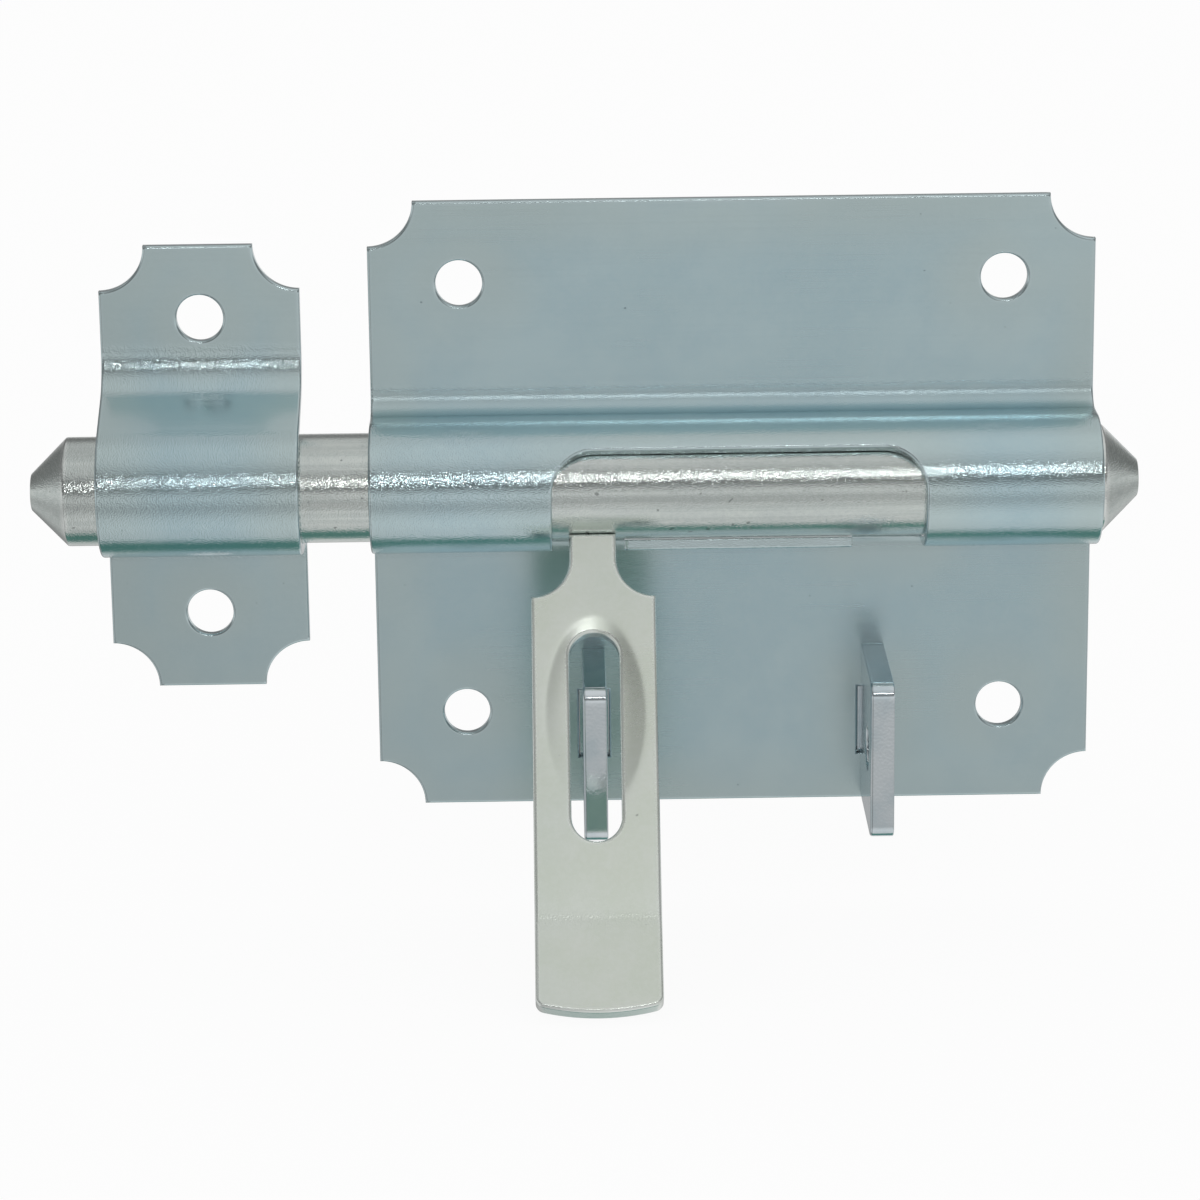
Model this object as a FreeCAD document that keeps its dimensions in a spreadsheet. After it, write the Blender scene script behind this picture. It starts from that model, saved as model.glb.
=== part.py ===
"""Padbolt: a round bolt that slides in a tunnel pressed across its plate, with a hasp handle.

Millimetres. +X runs along the bolt, away from its keeper, +Z is up, and the front faces -Y. The door's
surface is the plane y = 0. The origin is the middle of the plate's four screw holes, on that surface.
The handle is drawn lifted just clear of its staple, so that the bolt is free to slide.
"""
import FreeCAD, Part
import os

import Sketcher
from FreeCAD import Placement, Rotation, Vector

# Driving dimensions: alias, value and what it is
SIZES = (
    ("sheet", 2.0, "thickness of the plate's and the keeper's sheet"),
    ("plate_width", 140.0, "plate along the bolt"),
    ("screw_pitch_along", 105.0, "plate screws, centre to centre along the bolt"),
    ("screw_pitch_up", 86.0, "plate screws, centre to centre upwards"),
    ("top_margin", 16.0, "plate above its upper screws"),
    ("low_margin", 19.0, "plate below its lower screws"),
    ("screw_hole", 9.0, "diameter of every screw hole"),
    ("corner_scoop", 8.8, "radius of the scalloped corners"),
    ("rod_diameter", 21.0, "bolt rod"),
    ("rod_height", 5.1, "rod axis above the origin"),
    ("door_gap", 0.3, "rod to the door's surface"),
    ("tunnel_gap", 0.3, "rod to the plate's tunnel, on the radius"),
    ("keeper_gap", 0.8, "keeper's arch to the rod, on the radius"),
    ("upper_bend", 4.0, "front radius where the plate turns up into its tunnel, above"),
    ("lower_bend", 2.0, "front radius where the sheet turns up into the tunnel, below"),
    ("window_shift", 0.5, "middle of the window, right of the origin"),
    ("window_room", 3.7, "window's end beyond the handle's neck"),
    ("window_top", 9.1, "tunnel window's upper edge above the rod axis"),
    ("window_round", 8.0, "radius of the window's upper corners"),
    ("tongue_shift", 0.7, "middle of the tongue, right of the origin"),
    ("tongue_room", 1.0, "tongue's end to the handle's neck, but for that shift"),
    ("tongue_reach", 11.4, "tongue's front edge beyond the plate's front face"),
    ("travel", 55.0, "slide of the bolt, which is the distance between the staples"),
    ("staple_drop", 50.9, "middle of the staples below the rod axis"),
    ("staple_height", 30.9, "staple along its shoulders"),
    ("staple_reach", 28.5, "staple's nose beyond the plate's front face"),
    ("staple_thickness", 4.6, "staple along the bolt"),
    ("staple_round", 2.6, "radius of the staple's nose corners"),
    ("tab_height", 12.4, "staple's tab in the plate"),
    ("tab_gap", 0.6, "tab slot beyond the tab, all round"),
    ("eye_diameter", 9.0, "padlock eye in each staple"),
    ("eye_margin", 5.5, "staple's nose beyond its eye"),
    ("rod_past_keeper", 13.4, "rod's left end beyond the keeper"),
    ("rod_past_plate", 7.6, "rod's right end beyond the plate"),
    ("rod_chamfer", 7.0, "45 degree chamfer at the rod's ends"),
    ("keeper_space", 13.2, "keeper to the plate, along the bolt"),
    ("keeper_width", 38.6, "keeper along the bolt"),
    ("keeper_top", 46.0, "keeper's upper edge above the rod axis"),
    ("keeper_bottom", 42.0, "keeper's lower edge below the rod axis"),
    ("keeper_screw_up", 31.8, "keeper's upper screw above the rod axis"),
    ("keeper_screw_down", 27.0, "keeper's lower screw below the rod axis"),
    ("keeper_slope", 27.0, "slope of the arch's upper side from square, in degrees"),
    ("keeper_bend", 9.0, "front radius at the foot of that side"),
    ("handle_thickness", 4.0, "flat bar of the handle"),
    ("handle_width", 23.8, "handle's blade"),
    ("handle_length", 104.3, "handle's end from the rod axis"),
    ("neck_width", 9.0, "handle's neck"),
    ("neck_end", 15.5, "where the neck starts to widen, from the rod axis"),
    ("seat_gap", 0.1, "handle's saddle to the rod"),
    ("slot_start", 30.1, "slot's near end from the rod axis"),
    ("slot_end", 70.9, "slot's far end from the rod axis"),
    ("slot_side_gap", 2.45, "slot beyond the staple, on each side"),
    ("dish_length", 38.0, "oval dish around the slot, along the handle"),
    ("dish_width", 18.6, "oval dish, across"),
    ("dish_depth", 1.3, "oval dish, deepest"),
    ("dish_middle", 46.0, "middle of the dish from the rod axis"),
    ("grip_start", 85.6, "where the grip bends forward, from the rod axis"),
    ("grip_bend", 8.0, "grip's bend forward, in degrees"),
    ("grip_bend_radius", 12.0, "back radius of that bend"),
    ("end_bulge", 1.6, "rise of the handle's curved end"),
    ("end_round", 1.8, "radius of the end's two corners"),
    ("lift_gap", 0.2, "lifted handle's back to the staple's nose, as if its corner were sharp"),
)

# Worked-out dimensions: alias and formula
WORKED_OUT = (
    ("plate_top", "=screw_pitch_up / 2 + top_margin"),
    ("plate_bottom", "=-(screw_pitch_up / 2 + low_margin)"),
    ("rod_radius", "=rod_diameter / 2"),
    ("axis_depth", "=rod_radius + door_gap"),
    ("arch_inside", "=rod_radius + tunnel_gap"),
    ("arch_outside", "=arch_inside + sheet"),
    ("tunnel_front", "=axis_depth + arch_outside"),
    ("neck_low", "=travel / 2 - neck_width / 2"),
    ("neck_high", "=travel / 2 + neck_width / 2"),
    ("window_left", "=-(neck_high + window_room) + window_shift"),
    ("window_right", "=neck_high + window_room + window_shift"),
    ("tongue_left", "=-(neck_low - tongue_room) + tongue_shift"),
    ("tongue_right", "=neck_low - tongue_room + tongue_shift"),
    ("keeper_middle", "=plate_width / 2 + keeper_space + keeper_width / 2"),
    ("keeper_inside", "=rod_radius + keeper_gap"),
    ("keeper_axis", "=rod_height + keeper_gap - tunnel_gap"),
    ("rod_left", "=keeper_middle + keeper_width / 2 + rod_past_keeper"),
    ("rod_right", "=plate_width / 2 + rod_past_plate"),
    ("staple_middle", "=rod_height - staple_drop"),
    ("staple_nose", "=sheet + staple_reach"),
    ("eye_depth", "=staple_nose - eye_margin - eye_diameter / 2"),
    ("slot_width", "=staple_thickness + 2 * slot_side_gap"),
    ("shoulder_round", "=(handle_width - neck_width) / 2"),
    ("end_radius", "=((handle_width / 2) ^ 2 + end_bulge ^ 2) / (2 * end_bulge)"),
    ("end_corner", "=sqrt((end_radius - end_round) ^ 2 - (handle_width / 2 - end_round) ^ 2)"),
    ("nose_ahead", "=staple_nose - axis_depth"),
    ("nose_below", "=staple_drop - staple_height / 2"),
    ("nose_angle", "=atan(nose_ahead / nose_below) / 1deg"),
    ("bar_angle", "=asin((handle_thickness / 2 + lift_gap) / hypot(nose_ahead; nose_below)) / 1deg"),
    ("handle_lift", "=nose_angle + bar_angle"),
)

# Signs of the left and right, or upper and lower, one of a pair
BOTH_SIDES = (-1, 1)
# Room that a cutting sketch takes beyond the solid that it cuts
CUT_ROOM = 5.0

doc = FreeCAD.newDocument("Padbolt")
sheet = doc.addObject("Spreadsheet::Sheet", "Sizes")


def fill_sheet():
    """Write the dimensions into the sheet: plain numbers first, then the worked-out ones."""
    rows = [(alias, str(number), words) for alias, number, words in SIZES]
    rows += [(alias, formula, "worked out") for alias, formula in WORKED_OUT]
    for row, (alias, content, words) in enumerate(rows, start=1):
        sheet.set(f"A{row}", words)
        sheet.set(f"B{row}", content)
        sheet.setAlias(f"B{row}", alias)
    doc.recompute()


def value(formula):
    """Return the number that a formula over the sheet's aliases has now."""
    return float(sheet.evalExpression(str(formula)))


def size(alias):
    """Return the formula that reads one dimension from the sheet."""
    return f"Sizes.{alias}"


def new_body(label):
    """Add a body whose label is the name of its piece."""
    body = doc.addObject("PartDesign::Body", label)
    body.Label = label
    return body


def new_sketch(body, name, role):
    """Add a sketch on one of the body's own origin planes."""
    plane = next(item for item in body.Origin.OriginFeatures if item.Role == role)
    sketch = body.newObject("Sketcher::SketchObject", name)
    sketch.AttachmentSupport = [(plane, "")]
    sketch.MapMode = "FlatFace"
    return sketch


def pin(sketch, geometry, end, across, up):
    """Bind a point of the sketch to two formulas, measured from the sketch's origin."""
    for kind, axis, formula in (("DistanceX", -2, across), ("DistanceY", -1, up)):
        if str(formula) == "0":
            sketch.addConstraint(Sketcher.Constraint("PointOnObject", geometry, end, axis))
            continue
        rule = Sketcher.Constraint(kind, -1, 1, geometry, end, value(formula))
        number = sketch.addConstraint(rule)
        sketch.setExpression(f"Constraints[{number}]", str(formula))


def draw_outline(sketch, corners):
    """Draw a closed outline through corners.

    A corner is (across, up) where a straight edge leaves it, or (across, up, (centre across, centre up),
    turn) where an arc leaves it, with turn 1 for anticlockwise and -1 for clockwise.
    """
    points = [Vector(value(corner[0]), value(corner[1]), 0) for corner in corners]
    starts = []
    for number, corner in enumerate(corners):
        here, there = points[number], points[(number + 1) % len(points)]
        if len(corner) == 2:
            edge = sketch.addGeometry(Part.LineSegment(here, there), False)
            starts.append((edge, 1, 2))
            continue
        middle = Vector(value(corner[2][0]), value(corner[2][1]), 0)
        first, last = (here, there) if corner[3] > 0 else (there, here)
        circle = Part.Circle(middle, Vector(0, 0, 1), (here - middle).Length)
        arc = Part.ArcOfCircle(circle, circle.parameter(first), circle.parameter(last))
        edge = sketch.addGeometry(arc, False)
        starts.append((edge, 1, 2) if corner[3] > 0 else (edge, 2, 1))
        # the ends fix an arc but for one number, so its centre is bound the one way that tells most
        run = there - here
        kind, axis, formula = ("DistanceX", -2, corner[2][0])
        if abs(run.x) > abs(run.y):
            kind, axis, formula = ("DistanceY", -1, corner[2][1])
        if str(formula) == "0":
            sketch.addConstraint(Sketcher.Constraint("PointOnObject", edge, 3, axis))
        else:
            centre = value(formula)
            rule = sketch.addConstraint(Sketcher.Constraint(kind, -1, 1, edge, 3, centre))
            sketch.setExpression(f"Constraints[{rule}]", str(formula))
    for number, corner in enumerate(corners):
        edge, start, _ = starts[number]
        before, _, end = starts[number - 1]
        sketch.addConstraint(Sketcher.Constraint("Coincident", before, end, edge, start))
        pin(sketch, edge, start, corner[0], corner[1])


def draw_circle(sketch, across, up, radius):
    """Draw a circle whose centre and radius are formulas."""
    middle = Vector(value(across), value(up), 0)
    circle = sketch.addGeometry(Part.Circle(middle, Vector(0, 0, 1), value(radius)), False)
    pin(sketch, circle, 3, across, up)
    rule = sketch.addConstraint(Sketcher.Constraint("Radius", circle, value(radius)))
    sketch.setExpression(f"Constraints[{rule}]", radius)


def draw_box(sketch, left, right, low, high):
    """Draw an upright rectangle between four formulas."""
    draw_outline(sketch, [(left, low), (right, low), (right, high), (left, high)])


def pad_both_ways(body, sketch, name, length):
    """Pad a sketch by half of a length to each side of its plane."""
    pad = body.newObject("PartDesign::Pad", name)
    pad.Profile = sketch
    pad.SideType = "Symmetric"
    pad.setExpression("Length", length)
    sketch.Visibility = False
    return pad


def cut_through(body, sketch, name):
    """Cut a sketch right through the body, both ways."""
    before = body.Tip
    doc.recompute()
    volume = before.Shape.Volume
    pocket = body.newObject("PartDesign::Pocket", name)
    pocket.Profile = sketch
    pocket.SideType = "Symmetric"
    pocket.Type = "ThroughAll"
    check_cut(pocket, volume)
    return pocket


def cut_to_depth(body, sketch, name, length):
    """Cut a sketch from its plane towards the door by a length."""
    before = body.Tip
    doc.recompute()
    volume = before.Shape.Volume
    pocket = body.newObject("PartDesign::Pocket", name)
    pocket.Profile = sketch
    pocket.setExpression("Length", length)
    check_cut(pocket, volume)
    return pocket


def check_cut(feature, volume_before):
    """Stop if a cut took nothing away."""
    doc.recompute()
    if not feature.Shape.Volume < volume_before - 1e-6:
        raise RuntimeError(f"{feature.Label} cuts nothing")


def move_to_front(sketch, depth):
    """Put a sketch on the XZ plane forward of the door by a formula."""
    sketch.setExpression("AttachmentOffset.Base.z", depth)


def draw_sheet_section(sketch, top, bottom, axis, inside, slope, bend):
    """Draw the folded sheet's section, seen along +X, with the front to the left.

    The arch has its middle at the height axis and the radius inside. Its upper side leaves it at the
    slope, in degrees from square to the door, and meets the flat sheet in the front radius bend.
    """
    thick, depth, lower = size("sheet"), size("axis_depth"), size("lower_bend")
    angle, outside = f"({slope} * 1deg)", f"({inside} + {thick})"
    # where the upper side's front would meet the sheet's front, and the bend's centre above it
    rise = f"({depth} + {outside} * sin({angle}) - {thick}) * tan({angle})"
    foot = f"({axis} + {outside} * cos({angle}) + {rise})"
    turn = f"({foot} + {bend} * tan(45deg - {angle} / 2))"
    low_turn = f"({axis} - {outside} - {lower})"
    front, middle = f"-{thick}", f"-{depth}"
    upper_x, lower_x = f"-({thick} + {bend})", f"-({thick} + {lower})"
    arch, upper, under = (middle, axis), (upper_x, turn), (lower_x, low_turn)

    def on_arch(radius):
        """Return the point where the upper side leaves the arch."""
        return f"{middle} - {radius} * sin({angle})", f"{axis} + {radius} * cos({angle})"

    def on_bend(radius):
        """Return the point where the upper side runs into its bend."""
        return f"{upper_x} + {radius} * sin({angle})", f"{turn} - {radius} * cos({angle})"

    draw_outline(
        sketch,
        [
            (front, top),
            (front, turn, upper, -1),
            on_bend(bend),
            (*on_arch(outside), arch, 1),
            (middle, f"{axis} - {outside}"),
            (lower_x, f"{axis} - {outside}", under, -1),
            (front, low_turn),
            (front, bottom),
            ("0", bottom),
            ("0", low_turn, under, 1),
            (lower_x, f"{axis} - {inside}"),
            (middle, f"{axis} - {inside}", arch, -1),
            on_arch(inside),
            (*on_bend(f"({bend} + {thick})"), upper, 1),
            ("0", turn),
            ("0", top),
        ],
    )


def draw_scoops(sketch, left, right, low, high):
    """Draw the four circles that scallop a plate's corners."""
    for across in (left, right):
        for up in (low, high):
            draw_circle(sketch, across, up, size("corner_scoop"))


def make_base_plate():
    """Fold the plate with its tunnel, then punch holes, corners, window and tab slots."""
    body = new_body("base_plate")
    section = new_sketch(body, "PlateSection", "YZ_Plane")
    top, bottom, axis = size("plate_top"), size("plate_bottom"), size("rod_height")
    draw_sheet_section(section, top, bottom, axis, size("arch_inside"), "0", size("upper_bend"))
    pad_both_ways(body, section, "PlateSheet", size("plate_width"))

    holes = new_sketch(body, "PlateHoles", "XZ_Plane")
    for across in BOTH_SIDES:
        for up in BOTH_SIDES:
            draw_circle(
                holes,
                f"{across} * {size('screw_pitch_along')} / 2",
                f"{up} * {size('screw_pitch_up')} / 2",
                f"{size('screw_hole')} / 2",
            )
    half = f"{size('plate_width')} / 2"
    draw_scoops(holes, f"-{half}", half, bottom, top)
    for side in BOTH_SIDES:
        middle = staple_place(side)
        half_width = f"({size('staple_thickness')} / 2 + {size('tab_gap')})"
        half_height = f"({size('tab_height')} / 2 + {size('tab_gap')})"
        draw_box(
            holes,
            f"{middle} - {half_width}",
            f"{middle} + {half_width}",
            f"{size('staple_middle')} - {half_height}",
            f"{size('staple_middle')} + {half_height}",
        )
    cut_through(body, holes, "PlatePunching")

    window = new_sketch(body, "TunnelWindow", "XZ_Plane")
    move_to_front(window, f"{size('tunnel_front')} + {CUT_ROOM}")
    left, right, turn = size("window_left"), size("window_right"), size("window_round")
    top = f"({axis} + {size('window_top')})"
    low = f"({axis} - {size('arch_outside')} - {CUT_ROOM})"
    draw_outline(
        window,
        [
            (left, low),
            (right, low),
            (right, f"{top} - {turn}", (f"{right} - {turn}", f"{top} - {turn}"), 1),
            (f"{right} - {turn}", top),
            (f"{left} + {turn}", top, (f"{left} + {turn}", f"{top} - {turn}"), 1),
            (left, f"{top} - {turn}"),
        ],
    )
    reach = f"{size('tunnel_front')} + {CUT_ROOM} - {size('sheet')} - {size('tongue_reach')}"
    cut_to_depth(body, window, "WindowCut", reach)

    gaps = new_sketch(body, "TongueGaps", "XZ_Plane")
    move_to_front(gaps, f"{size('tunnel_front')} + {CUT_ROOM}")
    foot = f"{axis} - {size('arch_outside')} - {size('lower_bend')}"
    draw_box(gaps, left, size("tongue_left"), foot, axis)
    draw_box(gaps, size("tongue_right"), right, foot, axis)
    cut_to_depth(body, gaps, "GapCut", f"{size('tunnel_front')} + {CUT_ROOM} - {size('sheet')}")
    return body


def make_keeper():
    """Fold the keeper's strip, then punch its holes and corners."""
    body = new_body("keeper")
    section = new_sketch(body, "KeeperSection", "YZ_Plane")
    top = f"{size('rod_height')} + {size('keeper_top')}"
    bottom = f"{size('rod_height')} - {size('keeper_bottom')}"
    arch = size("keeper_axis"), size("keeper_inside")
    draw_sheet_section(section, top, bottom, *arch, size("keeper_slope"), size("keeper_bend"))
    pad_both_ways(body, section, "KeeperStrip", size("keeper_width"))

    holes = new_sketch(body, "KeeperHoles", "XZ_Plane")
    for up in (f"{size('keeper_screw_up')}", f"-{size('keeper_screw_down')}"):
        draw_circle(holes, "0", f"{size('rod_height')} + {up}", f"{size('screw_hole')} / 2")
    half = f"{size('keeper_width')} / 2"
    draw_scoops(holes, f"-{half}", half, bottom, top)
    cut_through(body, holes, "KeeperPunching")
    body.setExpression("Placement.Base.x", f"-{size('keeper_middle')}")
    return body


def staple_place(side):
    """Return the formula of a staple's place along the bolt, left (-1) or right (1)."""
    return f"({side} * {size('travel')} / 2)"


def make_staple(label, side):
    """Stamp a thick lug: tab in the plate, shoulders on it, rounded nose and padlock eye."""
    body = new_body(label)
    outline = new_sketch(body, f"{label}_outline", "YZ_Plane")
    middle = size("staple_middle")
    high = f"({middle} + {size('staple_height')} / 2)"
    low = f"({middle} - {size('staple_height')} / 2)"
    tab_high = f"{middle} + {size('tab_height')} / 2"
    tab_low = f"{middle} - {size('tab_height')} / 2"
    front = f"-{size('sheet')}"
    nose, turn = f"-{size('staple_nose')}", size("staple_round")
    inner = f"({nose} + {turn})"
    draw_outline(
        outline,
        [
            ("0", tab_high),
            (front, tab_high),
            (front, high),
            (inner, high, (inner, f"{high} - {turn}"), 1),
            (nose, f"{high} - {turn}"),
            (nose, f"{low} + {turn}", (inner, f"{low} + {turn}"), 1),
            (inner, low),
            (front, low),
            (front, tab_low),
            ("0", tab_low),
        ],
    )
    draw_circle(outline, f"-{size('eye_depth')}", middle, f"{size('eye_diameter')} / 2")
    pad_both_ways(body, outline, f"{label}_blank", size("staple_thickness"))
    body.setExpression("Placement.Base.x", staple_place(side))
    return body


def make_bolt_rod():
    """Turn the rod with a chamfer at each end."""
    body = new_body("bolt_rod")
    half_section = new_sketch(body, "RodHalfSection", "XY_Plane")
    left, right = f"-{size('rod_left')}", size("rod_right")
    radius, chamfer = size("rod_radius"), size("rod_chamfer")
    draw_outline(
        half_section,
        [
            (left, "0"),
            (right, "0"),
            (right, f"{radius} - {chamfer}"),
            (f"{right} - {chamfer}", radius),
            (f"{left} + {chamfer}", radius),
            (left, f"{radius} - {chamfer}"),
        ],
    )
    turned = body.newObject("PartDesign::Revolution", "RodTurned")
    turned.Profile = half_section
    turned.ReferenceAxis = (half_section, ["H_Axis"])
    turned.Angle = 360
    body.setExpression("Placement.Base.y", f"-{size('axis_depth')}")
    body.setExpression("Placement.Base.z", size("rod_height"))
    return body


def make_handle():
    """Cut the handle from bent flat bar. It is drawn hanging from the rod's axis, then lifted."""
    body = new_body("handle")
    half_bar = f"({size('handle_thickness')} / 2)"
    bend = f"({size('grip_bend')} * 1deg)"
    start = f"-{size('grip_start')}"
    # the bend's centre lies in front, and the bar runs on past its end, which is cut round below
    inside = f"({size('grip_bend_radius')} - {size('handle_thickness')})"
    outside = size("grip_bend_radius")
    centre = (f"-({half_bar} + {inside})", start)
    run = f"({size('handle_length')} - {size('grip_start')} + {CUT_ROOM})"

    def bent(radius, along):
        """Return the point at a radius from the bend's centre, past the bend by a run."""
        return (
            f"{centre[0]} + {radius} * cos({bend}) - {along} * sin({bend})",
            f"{centre[1]} - {radius} * sin({bend}) - {along} * cos({bend})",
        )

    bar = new_sketch(body, "BarSection", "YZ_Plane")
    draw_outline(
        bar,
        [
            (f"-{half_bar}", "0"),
            (f"-{half_bar}", start, centre, -1),
            bent(inside, "0"),
            bent(inside, run),
            bent(outside, run),
            (*bent(outside, "0"), centre, 1),
            (half_bar, start),
            (half_bar, "0"),
        ],
    )
    pad_both_ways(body, bar, "Bar", size("handle_width"))

    trim = new_sketch(body, "HandleOutline", "XZ_Plane")
    half_width = f"({size('handle_width')} / 2)"
    half_neck = f"({size('neck_width')} / 2)"
    neck_end = f"-{size('neck_end')}"
    shoulder = f"({neck_end} - {size('shoulder_round')})"
    for side in BOTH_SIDES:
        room = f"{side} * ({half_width} + {CUT_ROOM})"
        edge, neck = f"{side} * {half_width}", f"{side} * {half_neck}"
        draw_outline(
            trim,
            [
                (neck, f"{CUT_ROOM}"),
                (neck, neck_end, (edge, neck_end), side),
                (edge, shoulder),
                (room, shoulder),
                (room, f"{CUT_ROOM}"),
            ],
        )
    slot_half = f"({size('slot_width')} / 2)"
    slot_high = f"-({size('slot_start')} + {slot_half})"
    slot_low = f"-({size('slot_end')} - {slot_half})"
    draw_outline(
        trim,
        [
            (f"-{slot_half}", slot_high),
            (f"-{slot_half}", slot_low, ("0", slot_low), 1),
            (slot_half, slot_low),
            (slot_half, slot_high, ("0", slot_high), 1),
        ],
    )
    cut_through(body, trim, "HandleTrim")

    # the curved end, with a round corner that runs into it on each side
    end = new_sketch(body, "HandleEnd", "XZ_Plane")
    turn, end_radius = size("end_round"), size("end_radius")
    end_centre = f"({end_radius} - {size('handle_length')})"
    corner = f"({end_centre} - {size('end_corner')})"
    ratio = f"{end_radius} / ({end_radius} - {turn})"
    meet = f"({half_width} - {turn}) * {ratio}"
    meet_up = f"{end_centre} - {size('end_corner')} * {ratio}"
    room, below = f"({half_width} + {CUT_ROOM})", f"-({size('handle_length')} + 2 * {CUT_ROOM})"
    draw_outline(
        end,
        [
            (f"-{half_width}", corner, (f"{turn} - {half_width}", corner), 1),
            (f"-{meet}", meet_up, ("0", end_centre), 1),
            (meet, meet_up, (f"{half_width} - {turn}", corner), 1),
            (half_width, corner),
            (room, corner),
            (room, below),
            (f"-{room}", below),
            (f"-{room}", corner),
        ],
    )
    cut_through(body, end, "HandleEndCut")

    saddle = new_sketch(body, "Saddle", "YZ_Plane")
    draw_circle(saddle, "0", "0", f"{size('rod_radius')} + {size('seat_gap')}")
    cut_through(body, saddle, "SaddleCut")

    doc.recompute()
    volume = body.Shape.Volume
    dish = body.newObject("PartDesign::SubtractiveEllipsoid", "SlotDish")
    level = next(item for item in body.Origin.OriginFeatures if item.Role == "XY_Plane")
    dish.AttachmentSupport = [(level, "")]
    dish.MapMode = "FlatFace"
    dish.setExpression("Radius1", f"{size('dish_length')} / 2")
    dish.setExpression("Radius2", f"{size('dish_width')} / 2")
    dish.setExpression("Radius3", size("dish_depth"))
    dish.setExpression("AttachmentOffset.Base.y", f"-{half_bar}")
    dish.setExpression("AttachmentOffset.Base.z", f"-{size('dish_middle')}")
    check_cut(dish, volume)

    place_handle(body)
    return body


def place_handle(body):
    """Hang the handle on the rod's axis in line with the left staple, lifted clear of it."""
    body.Placement = Placement(Vector(), Rotation(Vector(-1, 0, 0), value(size("handle_lift"))))
    body.setExpression("Placement.Base.x", staple_place(-1))
    body.setExpression("Placement.Base.y", f"-{size('axis_depth')}")
    body.setExpression("Placement.Base.z", size("rod_height"))
    body.setExpression("Placement.Rotation.Angle", size("handle_lift"))


def check_and_write(bodies):
    """Stop on a failed object or a bad shape, then write one STEP file for each piece."""
    doc.recompute()
    for item in doc.Objects:
        if "Invalid" in item.State or "Error" in item.State:
            raise RuntimeError(f"{item.Label} failed: {item.State}")
    for body in bodies:
        if body.Shape.isNull() or not body.Shape.isValid() or len(body.Shape.Solids) != 1:
            raise RuntimeError(f"{body.Label} is not one valid solid")
    os.makedirs("parts", exist_ok=True)
    for body in bodies:
        body.Shape.exportStep(f"parts/{body.Label}.step")
        print(f"{body.Label}: {body.Shape.Volume / 1000:.2f} cm3")


fill_sheet()
check_and_write(
    [
        make_base_plate(),
        make_staple("lock_staple", -1),
        make_staple("park_staple", 1),
        make_keeper(),
        make_bolt_rod(),
        make_handle(),
    ]
)
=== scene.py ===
"""Looks of the padbolt: folded zinc-plated sheet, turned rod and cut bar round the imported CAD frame."""
import logging
import math
from collections.abc import Callable, Sequence
from dataclasses import dataclass, replace
from enum import Enum

import bpy
import numpy as np
from mathutils import Matrix, Vector
from mathutils.geometry import delaunay_2d_cdt


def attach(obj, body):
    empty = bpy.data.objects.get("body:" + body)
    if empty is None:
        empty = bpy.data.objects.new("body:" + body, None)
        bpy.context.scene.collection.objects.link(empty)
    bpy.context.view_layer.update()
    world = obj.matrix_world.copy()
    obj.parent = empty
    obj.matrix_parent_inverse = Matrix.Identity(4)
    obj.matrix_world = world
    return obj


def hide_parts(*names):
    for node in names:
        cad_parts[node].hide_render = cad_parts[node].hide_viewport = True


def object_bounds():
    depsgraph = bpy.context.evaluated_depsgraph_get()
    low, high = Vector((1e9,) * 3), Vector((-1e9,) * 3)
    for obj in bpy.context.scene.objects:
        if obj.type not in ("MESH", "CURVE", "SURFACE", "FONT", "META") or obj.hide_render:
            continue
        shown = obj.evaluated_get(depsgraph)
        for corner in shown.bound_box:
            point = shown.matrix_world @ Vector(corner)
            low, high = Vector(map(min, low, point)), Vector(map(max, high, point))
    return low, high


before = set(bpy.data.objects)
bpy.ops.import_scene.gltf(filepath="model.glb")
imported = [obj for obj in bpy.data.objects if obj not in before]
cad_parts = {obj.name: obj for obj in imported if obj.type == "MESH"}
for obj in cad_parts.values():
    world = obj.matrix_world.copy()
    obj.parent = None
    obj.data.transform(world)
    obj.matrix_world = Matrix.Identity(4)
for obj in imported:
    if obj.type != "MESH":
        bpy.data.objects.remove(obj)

MM = 0.001
LOG = logging.getLogger("padbolt")

# Millimetres: how far grid points keep from a rim, and how far a grid is shifted off round numbers
RIM_CLEAR = 0.45
GRID_SHIFT = (0.013, 0.007)

CAD_BOX = [[float(c) for c in corner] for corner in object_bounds()]


class Body(Enum):
    """Bodies of the frame that pieces ride on."""

    PLATE = "plate"
    BOLT = "bolt"
    HANDLE = "handle"


@dataclass(frozen=True)
class Places:
    """Sizes that several pieces share, in millimetres, as in the part's own source."""

    sheet: float = 2.0
    rod_radius: float = 10.5
    rod_height: float = 5.1
    axis_depth: float = 10.8
    travel: float = 55.0
    staple_drop: float = 50.9
    staple_height: float = 30.9
    staple_reach: float = 28.5
    staple_thickness: float = 4.6
    tab_height: float = 12.4
    neck_width: float = 9.0

    @property
    def staple_middle(self) -> float:
        """Return the height of the staples' middle."""
        return self.rod_height - self.staple_drop

    @property
    def staple_nose(self) -> float:
        """Return how far the staples' nose stands from the door."""
        return self.sheet + self.staple_reach


SHARED = Places()


# Flat outlines


def signed_area(loop: np.ndarray) -> float:
    """Return a closed outline's area, positive when it runs anticlockwise."""
    ahead = np.roll(loop, -1, axis=0)
    return 0.5 * float(np.sum(loop[:, 0] * ahead[:, 1] - ahead[:, 0] * loop[:, 1]))


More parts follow.
